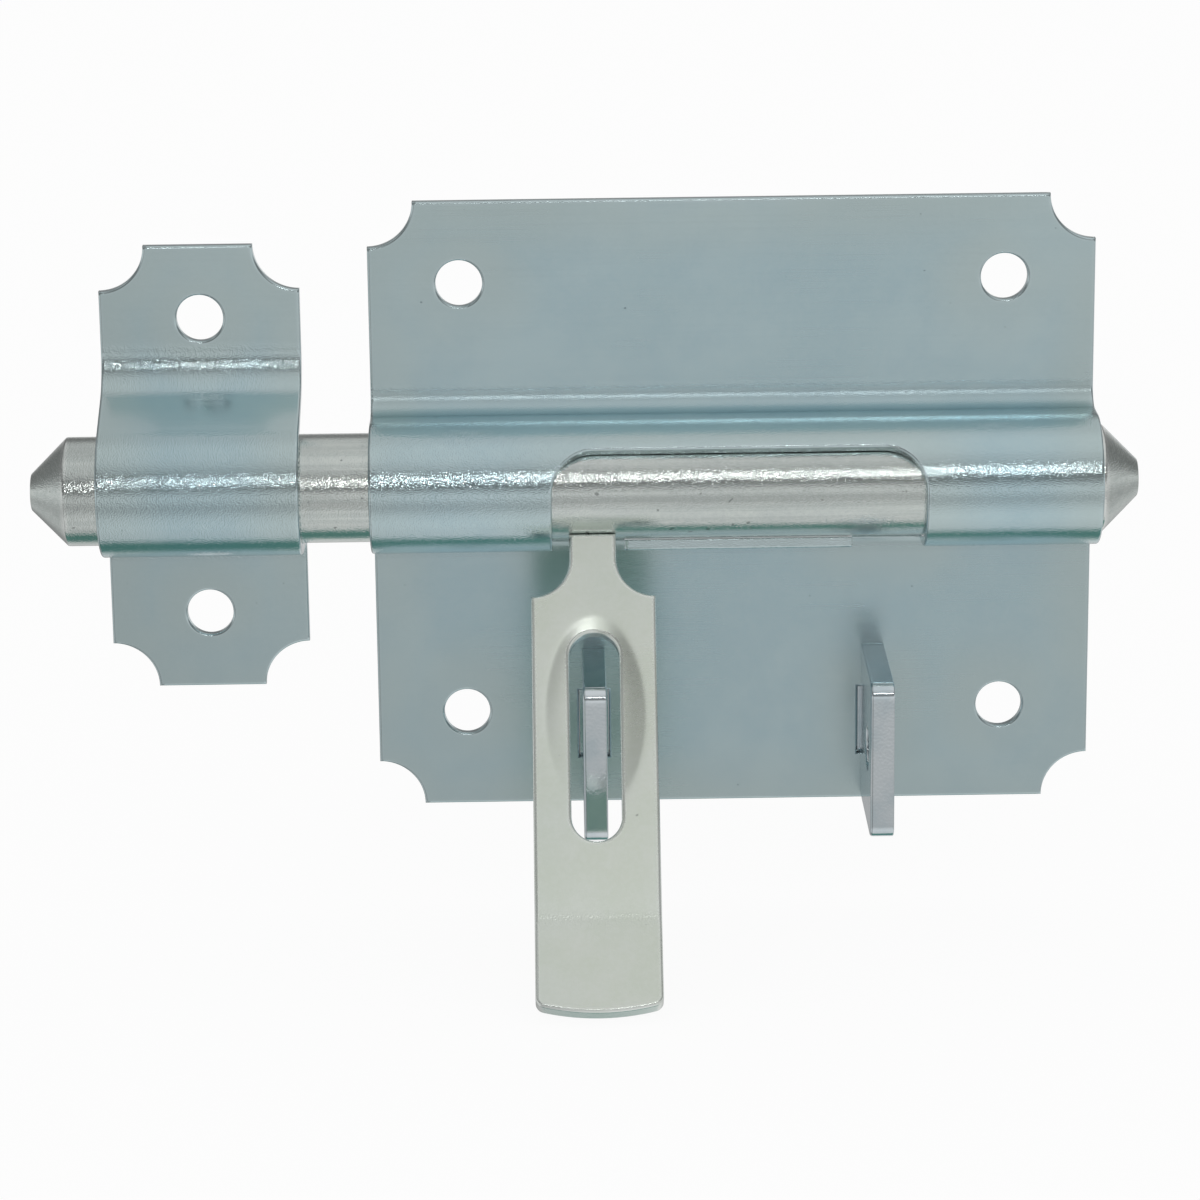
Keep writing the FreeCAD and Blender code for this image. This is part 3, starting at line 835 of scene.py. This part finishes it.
@dataclass(frozen=True)
class ArchSection:
    """Section of a sheet that is folded out over the rod and back."""

    top: float
    bottom: float
    axis: float
    inside: float
    slope: float
    bend: float
    low_bend: float = 2.0

    @property
    def outside(self) -> float:
        """Return the arch's outer radius."""
        return self.inside + SHARED.sheet

    @property
    def turn(self) -> float:
        """Return the height at which the flat sheet above runs into its bend."""
        angle = math.radians(self.slope)
        run = SHARED.axis_depth + self.outside * math.sin(angle) - SHARED.sheet
        foot = self.axis + self.outside * math.cos(angle) + run * math.tan(angle)
        return foot + self.bend * math.tan(math.pi / 4 - angle / 2)

    @property
    def low_turn(self) -> float:
        """Return the height at which the flat sheet below begins."""
        return self.axis - self.outside - self.low_bend

    def path(self) -> FoldedPath:
        """Return the middle line: flat, bend, upper side, arch, floor, bend and flat."""
        half, angle = SHARED.sheet / 2, math.radians(self.slope)
        radius = self.outside - half
        bend_end = self.turn - self.bend * math.cos(angle)
        arch_start = self.axis + self.outside * math.cos(angle)
        start_y = SHARED.sheet + self.bend - self.bend * math.sin(angle)
        end_y = SHARED.axis_depth + self.outside * math.sin(angle)
        side = math.hypot(end_y - start_y, bend_end - arch_start)
        upper_turn = 90.0 - self.slope
        runs = (
            (self.top - self.turn, 0.0),
            (math.radians(upper_turn) * (self.bend + half), upper_turn),
            (side, 0.0),
            (math.radians(180.0 - self.slope) * radius, self.slope - 180.0),
            (SHARED.axis_depth - SHARED.sheet - self.low_bend, 0.0),
            (math.pi / 2 * (self.low_bend + half), 90.0),
            (self.low_turn - self.bottom, 0.0),
        )
        return FoldedPath((-half, self.top), 0.0, runs)

    def on_arch(self, height: np.ndarray | float) -> np.ndarray:
        """Return the distance along the path where the arch's front has a height.

        The front's height over the axis is the outer radius times the sine of the heading.
        """
        heading = np.degrees(np.arcsin((np.asarray(height, float) - self.axis) / self.outside))
        radius = self.outside - SHARED.sheet / 2
        return self.path().begins()[3] + np.radians(90.0 - self.slope - heading) * radius

    def on_lower(self, height: float) -> float:
        """Return the distance along the path of a height on the lower flat."""
        return float(self.path().begins()[6]) + self.low_turn - height


@dataclass
class BasePlate:
    """Plate with its tunnel, window and tongue."""

    width: float = 140.0
    pitch_along: float = 105.0
    pitch_up: float = 86.0
    top_margin: float = 16.0
    low_margin: float = 19.0
    hole_radius: float = 4.5
    scoop: float = 8.8
    upper_bend: float = 4.0
    tunnel_gap: float = 0.3
    window_left: float = -35.2
    window_right: float = 36.2
    window_top: float = 9.1
    window_round: float = 8.0
    tongue_left: float = -21.3
    tongue_right: float = 22.7
    tongue_reach: float = 11.4
    gap_share: float = 0.55
    tab_gap: float = 0.6

    def section(self) -> ArchSection:
        """Return the folded section."""
        return ArchSection(
            top=self.pitch_up / 2 + self.top_margin,
            bottom=-self.pitch_up / 2 - self.low_margin,
            axis=SHARED.rod_height,
            inside=SHARED.rod_radius + self.tunnel_gap,
            slope=0.0,
            bend=self.upper_bend,
        )

    def tongue_turn(self, section: ArchSection) -> float:
        """Return how far the tongue's edge is up the arch from its lowest point, in radians."""
        past = SHARED.sheet + self.tongue_reach - SHARED.axis_depth
        return math.asin(past / (section.outside - SHARED.sheet / 2))

    def tongue_edge(self, section: ArchSection) -> float:
        """Return the distance along the path of the tongue's front edge."""
        radius = section.outside - SHARED.sheet / 2
        return float(section.path().begins()[4]) - radius * self.tongue_turn(section)

    def plumb(self, u: np.ndarray, v: np.ndarray) -> np.ndarray:
        """Return the lean that stands the tongue's cut upright, fading to none in two millimetres."""
        section = self.section()
        along = np.clip(1.0 - np.abs(v - self.tongue_edge(section)) / 2.0, 0.0, 1.0)
        across = (u > self.tongue_left - 1.0) & (u < self.tongue_right + 1.0)
        return math.tan(self.tongue_turn(section)) * along * across

    def window(self, section: ArchSection) -> np.ndarray:
        """Return the window's outline on the flat sheet, with the tongue left standing between its ends."""
        begins = section.path().begins()
        top, turn = section.axis + self.window_top, self.window_round
        low = float(begins[5] + self.gap_share * (begins[6] - begins[5]))
        tongue = self.tongue_edge(section)
        right = arc((self.window_right - turn, top - turn), turn, 0.0, 90.0)
        left = arc((self.window_left + turn, top - turn), turn, 90.0, 180.0)
        for corner in (right, left):
            corner[:, 1] = section.on_arch(corner[:, 1])
        return closed(
            [
                np.array([(self.window_left, low), (self.tongue_left, low), (self.tongue_left, tongue)]),
                np.array([(self.tongue_right, tongue), (self.tongue_right, low), (self.window_right, low)]),
                right,
                left,
            ]
        )

    def build(self) -> bpy.types.Object:
        """Cut, punch and fold the plate."""
        section = self.section()
        path = section.path()
        half, length = self.width / 2, float(path.begins()[-1])
        outlines = [scooped_rectangle(-half, half, 0.0, length, self.scoop)]
        for across in (-0.5, 0.5):
            outlines.append(circle((across * self.pitch_along, self.top_margin), self.hole_radius))
            outlines.append(circle((across * self.pitch_along, length - self.low_margin), self.hole_radius))
            middle, centre = across * SHARED.travel, section.on_lower(SHARED.staple_middle)
            wide = SHARED.staple_thickness / 2 + self.tab_gap
            tall = SHARED.tab_height / 2 + self.tab_gap
            corners = [(-wide, -tall), (wide, -tall), (wide, tall), (-wide, tall)]
            outlines.append(closed([np.array(corners) + (middle, centre)]))
        outlines.append(self.window(section))
        blank = Blank(
            form=Bar(path),
            thickness=SHARED.sheet,
            outlines=tuple(outlines),
            grid_u=np.linspace(-half, half, 71)[1:-1] + GRID_SHIFT[0],
            grid_v=path.rows(2.0, 3.0)[1:] + GRID_SHIFT[1],
            lean=self.plumb,
        )
        piece = blank.build("plate_sheet")
        finish_piece(piece, PLATE_ZINC, Body.PLATE, "base_plate")
        return piece


@dataclass
class Keeper:
    """Strip folded over the rod's end."""

    middle: float = -102.5
    width: float = 38.6
    top: float = 46.0
    bottom: float = 42.0
    screw_up: float = 31.8
    screw_down: float = 27.0
    hole_radius: float = 4.5
    scoop: float = 8.8
    gap: float = 0.8
    door_gap: float = 0.3
    slope: float = 27.0
    bend: float = 9.0

    def build(self) -> bpy.types.Object:
        """Cut, punch and fold the keeper."""
        section = ArchSection(
            top=SHARED.rod_height + self.top,
            bottom=SHARED.rod_height - self.bottom,
            axis=SHARED.rod_height + self.gap - self.door_gap,
            inside=SHARED.rod_radius + self.gap,
            slope=self.slope,
            bend=self.bend,
        )
        path = section.path()
        half, length = self.width / 2, float(path.begins()[-1])
        upper = section.top - SHARED.rod_height - self.screw_up
        lower = section.on_lower(SHARED.rod_height - self.screw_down)
        blank = Blank(
            form=Bar(path, self.middle),
            thickness=SHARED.sheet,
            outlines=(
                scooped_rectangle(-half, half, 0.0, length, self.scoop),
                circle((0.0, upper), self.hole_radius),
                circle((0.0, lower), self.hole_radius),
            ),
            grid_u=np.linspace(-half, half, 21)[1:-1] + GRID_SHIFT[0],
            grid_v=path.rows(2.0, 3.0)[1:] + GRID_SHIFT[1],
        )
        piece = blank.build("keeper_strip")
        finish_piece(piece, KEEPER_ZINC, Body.PLATE, "keeper")
        return piece


@dataclass
class Staples:
    """The two lugs that take the padlock."""

    nose_round: float = 2.6
    eye_radius: float = 4.5
    eye_margin: float = 5.5
    slot_gap: float = 0.57
    stake_depth: float = 0.6

    def outline(self) -> np.ndarray:
        """Return the lug's outline: tab, shoulders and rounded nose, with u forward and v down."""
        middle = -SHARED.staple_middle
        half, tab, turn = SHARED.staple_height / 2, SHARED.tab_height / 2, self.nose_round
        sheet, nose = SHARED.sheet, SHARED.staple_nose
        return closed(
            [
                np.array([(0.0, middle - tab), (sheet, middle - tab), (sheet, middle - half)]),
                arc((nose - turn, middle - half + turn), turn, -90.0, 0.0, 0.35),
                arc((nose - turn, middle + half - turn), turn, 0.0, 90.0, 0.35),
                np.array([(sheet, middle + half), (sheet, middle + tab), (0.0, middle + tab)]),
            ],
            0.7,
        )

    def build(self, name: str, side: int, node: str) -> bpy.types.Object:
        """Stamp one lug, left (-1) or right (1) of the origin."""
        middle = -SHARED.staple_middle
        half = SHARED.staple_height / 2
        eye = SHARED.staple_nose - self.eye_margin - self.eye_radius
        blank = Blank(
            form=Lug(side * SHARED.travel / 2),
            thickness=SHARED.staple_thickness,
            outlines=(self.outline(), circle((eye, middle), self.eye_radius)),
            grid_u=np.arange(1.0, SHARED.staple_nose, 1.1) + GRID_SHIFT[0],
            grid_v=np.arange(middle - half, middle + half, 1.1) + GRID_SHIFT[1],
            front_round=0.55,
            back_round=0.3,
        )
        piece = blank.build(name)
        finish_piece(piece, STAPLE_ZINC, Body.PLATE, node)
        return piece

    def stake(self, name: str, side: int) -> bpy.types.Object:
        """Swage the back of one tab out, so that it fills its slot at the plate's back face."""
        half_width = SHARED.staple_thickness / 2 + self.slot_gap
        half_height = SHARED.tab_height / 2 + self.slot_gap
        top = SHARED.staple_middle + half_height
        low = 2 * half_height
        corners = [(-half_width, 0.0), (half_width, 0.0), (half_width, low), (-half_width, low)]
        path = FoldedPath((-0.02 - self.stake_depth / 2, top), 0.0, ((2 * half_height, 0.0),))
        blank = Blank(
            form=Bar(path, side * SHARED.travel / 2),
            thickness=self.stake_depth,
            outlines=(closed([np.array(corners)]),),
            grid_u=np.arange(-2.0, 2.1, 1.0) + GRID_SHIFT[0],
            grid_v=np.arange(1.0, 2 * half_height - 0.5, 1.0) + GRID_SHIFT[1],
            front_round=0.1,
            back_round=0.1,
            support=0.1,
        )
        piece = blank.build(name)
        finish_piece(piece, STAPLE_ZINC, Body.PLATE)
        return piece


@dataclass
class Handle:
    """Slotted flat bar that hangs from the rod, lifted clear of its staple."""

    thickness: float = 4.0
    width: float = 23.8
    length: float = 104.3
    neck_end: float = 15.5
    slot_start: float = 30.1
    slot_end: float = 70.9
    slot_side_gap: float = 2.45
    dish_length: float = 38.0
    dish_width: float = 18.6
    dish_depth: float = 1.3
    dish_middle: float = 46.0
    grip_start: float = 85.6
    grip_bend: float = 8.0
    grip_radius: float = 12.0
    end_bulge: float = 1.6
    end_round: float = 1.8
    lift_gap: float = 0.2
    trim: float = 0.02

    @property
    def lift(self) -> float:
        """Return the lift from hanging, in degrees, that just clears the staple's nose."""
        ahead = SHARED.staple_nose - SHARED.axis_depth
        below = SHARED.staple_drop - SHARED.staple_height / 2
        clear = self.thickness / 2 + self.lift_gap
        return math.degrees(math.atan2(ahead, below) + math.asin(clear / math.hypot(ahead, below)))

    def path(self) -> FoldedPath:
        """Return the bar's middle line, from the rod's axis to the grip's end."""
        radius = self.grip_radius - self.thickness / 2
        bend = math.radians(self.grip_bend)
        rest = (self.length - self.trim - self.grip_start - radius * math.sin(bend)) / math.cos(bend)
        runs = ((self.grip_start, 0.0), (radius * bend, self.grip_bend), (rest, 0.0))
        return FoldedPath((-SHARED.axis_depth, SHARED.rod_height), self.lift, runs)

    def dish(self, u: np.ndarray, v: np.ndarray) -> np.ndarray:
        """Return the dish's depth.

        With r measured in half widths and lengths and k = 1 - r^3, it is the full depth times the mean of k
        and the root of k^2 + 0.02, which is k inside, nothing outside and soft at the rim.
        """
        across, along = u / (self.dish_width / 2), (v - self.dish_middle) / (self.dish_length / 2)
        inside = 1.0 - np.hypot(across, along) ** 3
        return self.dish_depth * 0.5 * (inside + np.sqrt(inside**2 + 0.02))

    def outlines(self) -> tuple[np.ndarray, np.ndarray]:
        """Return the bar's outline and its slot's."""
        half, neck, end = self.width / 2, SHARED.neck_width / 2, float(self.path().begins()[-1])
        shoulder, saddle = half - neck, SHARED.rod_radius
        radius = (half**2 + self.end_bulge**2) / (2 * self.end_bulge)
        centre, turn = end - radius, self.end_round
        corner = centre + math.sqrt((radius - turn) ** 2 - (half - turn) ** 2)
        lean = math.degrees(math.asin((half - turn) / (radius - turn)))
        outer = closed(
            [
                np.array([(-neck, saddle), (neck, saddle)]),
                arc((half, self.neck_end), shoulder, 180.0, 90.0),
                arc((half - turn, corner), turn, 0.0, 90.0 - lean, 0.25),
                arc((0.0, centre), radius, 90.0 - lean, 90.0 + lean, 0.7),
                arc((turn - half, corner), turn, 90.0 + lean, 180.0, 0.25),
                arc((-half, self.neck_end), shoulder, 90.0, 0.0),
            ],
            0.7,
        )
        slot = SHARED.staple_thickness / 2 + self.slot_side_gap
        hole = closed(
            [
                arc((0.0, self.slot_start + slot), slot, 180.0, 360.0, 0.4),
                arc((0.0, self.slot_end - slot), slot, 0.0, 180.0, 0.4),
            ],
            0.6,
        )
        return outer, hole

    def build(self) -> bpy.types.Object:
        """Cut, dish and bend the handle."""
        path = self.path()
        end = float(path.begins()[-1])
        blank = Blank(
            form=Bar(path, -SHARED.travel / 2),
            thickness=self.thickness,
            outlines=self.outlines(),
            grid_u=np.linspace(-self.width / 2, self.width / 2, 55)[1:-1] + GRID_SHIFT[0],
            grid_v=np.arange(SHARED.rod_radius + 0.5, end, 0.5) + GRID_SHIFT[1],
            front_round=0.7,
            back_round=0.5,
            dent=self.dish,
        )
        piece = blank.build("handle_bar")
        finish_piece(piece, HANDLE_ZINC, Body.HANDLE, "handle")
        return piece


@dataclass
class BoltRod:
    """Turned rod with a chamfer at each end."""

    left: float = -135.2
    right: float = 77.6
    chamfer: float = 7.0
    corner: float = 0.5
    around: int = 160

    def profile(self) -> tuple[np.ndarray, np.ndarray]:
        """Return the half section and its normals, from the left end's middle to the right end's.

        Each corner is an arc that touches both edges, so that its normal turns from one edge's to the
        other's; the long edges are divided evenly.
        """
        radius, chamfer = SHARED.rod_radius, self.chamfer
        corners = np.array(
            [
                (self.left, 0.0),
                (self.left, radius - chamfer),
                (self.left + chamfer, radius),
                (self.right - chamfer, radius),
                (self.right, radius - chamfer),
                (self.right, 0.0),
            ]
        )
        edges = np.diff(corners, axis=0)
        angles = np.arctan2(edges[:, 1], edges[:, 0])
        points, normals = [corners[0]], [angles[0] + np.pi / 2]
        for number in range(1, len(corners) - 1):
            before, after = angles[number - 1], angles[number]
            reach = self.corner * math.tan((before - after) / 2)
            start = corners[number] - reach * np.array([math.cos(before), math.sin(before)])
            centre = start + self.corner * np.array([math.sin(before), -math.cos(before)])
            turn = np.linspace(before, after, 5) + np.pi / 2
            rounded = centre + self.corner * np.stack([np.cos(turn), np.sin(turn)], axis=1)
            run = rounded[0] - points[-1]
            count = max(1, int(np.linalg.norm(run) / 2.0))
            for share in np.arange(1, count) / count:
                points.append(rounded[0] - run * (1 - share))
                normals.append(turn[0])
            points += list(rounded)
            normals += list(turn)
        points.append(corners[-1])
        normals.append(angles[-1] + np.pi / 2)
        facing = np.stack([np.cos(normals), np.sin(normals)], axis=1)
        return np.array(points), facing

    def build(self) -> bpy.types.Object:
        """Turn the half section about the rod's axis: Y and Z are its radius times cosine and sine."""
        points, facing = self.profile()
        turn = np.linspace(0.0, 2 * np.pi, self.around, endpoint=False)
        x = np.repeat(points[1:-1, 0], self.around)
        r = np.repeat(points[1:-1, 1], self.around)
        angle = np.tile(turn, len(points) - 2)
        places = np.stack(
            [x, r * np.cos(angle) - SHARED.axis_depth, r * np.sin(angle) + SHARED.rod_height], axis=1
        )
        lean_x, lean_r = (np.repeat(facing[1:-1, axis], self.around) for axis in (0, 1))
        normals = np.stack([lean_x, lean_r * np.cos(angle), lean_r * np.sin(angle)], axis=1)
        poles = np.array(
            [(points[end, 0], -SHARED.axis_depth, SHARED.rod_height) for end in (0, -1)]
        )
        places = np.concatenate([places, poles])
        normals = np.concatenate([normals, [(-1.0, 0.0, 0.0), (1.0, 0.0, 0.0)]])
        grid = np.arange(len(x)).reshape(-1, self.around)
        ahead = np.roll(grid, -1, axis=1)
        quads = np.stack([grid[:-1], ahead[:-1], ahead[1:], grid[1:]], axis=-1).reshape(-1, 4)
        first = np.stack([np.full(self.around, len(x)), ahead[0], grid[0]], axis=1)
        last = np.stack([np.full(self.around, len(x) + 1), grid[-1], ahead[-1]], axis=1)
        rim = np.minimum(
            np.abs(places[:, 0] - self.left - self.chamfer),
            np.abs(self.right - self.chamfer - places[:, 0]),
        )
        flat = np.stack([places[:, 0], np.concatenate([angle * SHARED.rod_radius, [0.0, 0.0]])], axis=1)
        piece = mesh_object(
            "rod_bar",
            places * MM,
            quads.tolist() + first.tolist() + last.tolist(),
            normals,
            {"edge": rim, "bent": np.ones(len(places)), "hollow": np.zeros(len(places))},
            flat * MM,
        )
        finish_piece(piece, ROD_ZINC, Body.BOLT, "bolt_rod")
        return piece


# Stage


@dataclass(frozen=True)
class Softbox:
    """One area lamp that points at a place."""

    name: str
    place: tuple[float, float, float]
    aim: tuple[float, float, float]
    width: float
    height: float
    power: float

    def build(self) -> bpy.types.Object:
        """Add the lamp, unseen by the camera itself."""
        lamp = bpy.data.lights.new(self.name, "AREA")
        lamp.shape = "RECTANGLE"
        lamp.size, lamp.size_y, lamp.energy = self.width, self.height, self.power
        holder = bpy.data.objects.new(self.name, lamp)
        bpy.context.scene.collection.objects.link(holder)
        holder.location = self.place
        aim = Vector(self.aim) - Vector(self.place)
        holder.rotation_euler = aim.to_track_quat("-Z", "Y").to_euler()
        holder.visible_camera = False
        return holder


@dataclass
class Studio:
    """Camera, lamps, floor and world."""

    pixels: float = 1200.0
    focal: float = 4321.17
    sensor: float = 36.0
    distance: float = 850.0
    elevation: float = 15.703
    azimuth: float = -0.4534
    roll: float = -0.6817
    target: tuple[float, float, float] = (-26.039, 0.0, -21.084)
    floor_gap: float = 0.4
    floor_size: float = 6.0
    floor_share: float = 0.93
    soft_level: float = 0.85
    bands: tuple[tuple[float, float], ...] = (
        (-90.0, 0.66),
        (-56.0, 0.76),
        (-40.0, 0.71),
        (-32.0, 0.64),
        (-24.0, 0.50),
        (-18.5, 0.49),
        (-15.5, 0.57),
        (-10.0, 0.64),
        (-3.0, 0.76),
        (4.0, 0.60),
        (9.0, 0.34),
        (18.0, 0.20),
        (30.0, 0.26),
        (37.0, 0.44),
        (43.0, 0.61),
        (90.0, 0.64),
    )
    under_colour: tuple[float, float, float] = (0.12, 0.25, 0.225)
    under_ahead: tuple[float, float] = (-0.075, 0.0)
    under_down: tuple[float, float] = (-0.78, -0.92)
    sides: tuple[tuple[float, float], ...] = (
        (-1.0, 1.0),
        (-0.75, 0.90),
        (-0.45, 0.50),
        (-0.25, 0.62),
        (-0.10, 0.90),
        (-0.04, 0.99),
        (0.05, 0.99),
        (0.12, 1.0),
        (1.0, 0.92),
    )

    def camera(self) -> bpy.types.Object:
        """Add the camera: it looks at the target from its distance along azimuth and elevation."""
        el, az, roll = (math.radians(angle) for angle in (self.elevation, self.azimuth, self.roll))
        away = np.array([math.sin(az) * math.cos(el), -math.cos(az) * math.cos(el), math.sin(el)])
        right = np.cross(-away, [0.0, 0.0, 1.0])
        right /= np.linalg.norm(right)
        up = np.cross(right, -away)
        across = math.cos(roll) * right + math.sin(roll) * up
        upward = math.cos(roll) * up - math.sin(roll) * right
        data = bpy.data.cameras.new("camera")
        data.sensor_fit = "HORIZONTAL"
        data.sensor_width = self.sensor
        data.lens = self.focal * self.sensor / self.pixels
        data.clip_start, data.clip_end = 0.01, 100.0
        camera = bpy.data.objects.new("camera", data)
        bpy.context.scene.collection.objects.link(camera)
        place = (np.array(self.target) + self.distance * away) * MM
        matrix = Matrix(np.column_stack([across, upward, away]).tolist()).to_4x4()
        matrix.translation = Vector(place)
        camera.matrix_world = matrix
        bpy.context.scene.camera = camera
        return camera

    def floor(self) -> bpy.types.Object:
        """Lay a plain pale floor under the lowest point."""
        half, low = self.floor_size / 2, CAD_BOX[0][2] - self.floor_gap * MM
        mesh = bpy.data.meshes.new("floor")
        corners = [(-half, -half, low), (half, -half, low), (half, half, low), (-half, half, low)]
        mesh.from_pydata(corners, [], [(0, 1, 2, 3)])
        floor = bpy.data.objects.new("floor", mesh)
        bpy.context.scene.collection.objects.link(floor)
        board = NodeBoard(bpy.data.materials.new("floor"))
        matt = board.add("BsdfDiffuse", Color=(0.82, 0.82, 0.82))
        glow = board.add("Emission", Color=(1.0, 1.0, 1.0), Strength=1.0)
        share = board.maths("MULTIPLY", board.add("LightPath").outputs["Is Camera Ray"], self.floor_share)
        mixed = board.blend(share, matt.outputs[0], glow.outputs[0])
        board.feed(board.add("OutputMaterial").inputs["Surface"], mixed)
        mesh.materials.append(board.owner)
        floor.visible_glossy = False
        return floor

    def shade_ramp(
        self, board: NodeBoard, source: bpy.types.NodeSocket, shades: Sequence[tuple[float, float]]
    ) -> bpy.types.NodeSocket:
        """Return the grey for a source that runs from -1 to 1, whose places are stored as 0 to 1."""
        ramp = board.add("ValToRGB")
        board.feed(ramp.inputs[0], board.maths("MULTIPLY_ADD", source, 0.5, 0.5))
        stops = ramp.color_ramp.elements
        while len(stops) < len(shades):
            stops.new(1.0)
        for stop, (place, shade) in zip(stops, shades):
            stop.position = 0.5 + 0.5 * place
            stop.color = (shade, shade, shade, 1.0)
        return ramp.outputs["Color"]

    def world(self) -> None:
        """Set the world: white to the camera, a soft level to matt surfaces, bands to reflections.

        The bands are plain panels round the object, each as bright as its level at its elevation, times the
        level of its side from left to right. Straight down and behind that lies a dim green patch.
        """
        board = NodeBoard(bpy.data.worlds.new("studio"))
        bpy.context.scene.world = board.owner
        ray = board.add("LightPath")
        way = board.add("SeparateXYZ", Vector=board.add("TexCoord").outputs["Generated"])
        bands = [(math.sin(math.radians(angle)), shade) for angle, shade in self.bands]
        under = board.maths(
            "MULTIPLY",
            board.ramp(way.outputs["Y"], *self.under_ahead),
            board.ramp(way.outputs["Z"], *self.under_down),
        )
        colour = board.mix(under, self.shade_ramp(board, way.outputs["Z"], bands), self.under_colour)
        side = self.shade_ramp(board, way.outputs["X"], self.sides)
        panels = board.add("Background", Color=colour, Strength=side)
        soft = board.add("Background", Color=(1.0, 1.0, 1.0), Strength=self.soft_level)
        white = board.add("Background", Color=(1.0, 1.0, 1.0))
        seen = board.blend(ray.outputs["Is Glossy Ray"], soft.outputs[0], panels.outputs[0])
        seen = board.blend(ray.outputs["Is Camera Ray"], seen, white.outputs[0])
        board.feed(board.add("OutputWorld").inputs["Surface"], seen)

    def lamps(self) -> None:
        """Add the lamps: a large soft one above, and two slim ones just over the camera."""
        boxes = (
            Softbox("lamp_above", (0.1, -0.4, 1.5), (-0.03, 0.0, 0.0), 1.6, 1.0, 0.4),
            Softbox("lamp_left", (-0.205, -1.13, 0.47), (-0.10, 0.0, 0.0), 0.11, 0.05, 0.26),
            Softbox("lamp_right", (0.12, -1.13, 0.63), (0.03, 0.0, 0.0), 0.28, 0.05, 0.55),
        )
        for box in boxes:
            box.build()

    def build(self) -> None:
        """Set up everything round the object."""
        self.camera()
        self.floor()
        self.world()
        self.lamps()
        bpy.context.scene.view_settings.view_transform = "Standard"


def main() -> None:
    """Build every sub-assembly in order, then the studio."""
    logging.basicConfig(level=logging.INFO, format="%(name)s: %(message)s")
    BasePlate().build()
    Keeper().build()
    staples = Staples()
    staples.build("staple_left", -1, "lock_staple")
    staples.build("staple_right", 1, "park_staple")
    staples.stake("stake_left", -1)
    staples.stake("stake_right", 1)
    BoltRod().build()
    Handle().build()
    Studio().build()


if __name__ == "__main__":
    main()
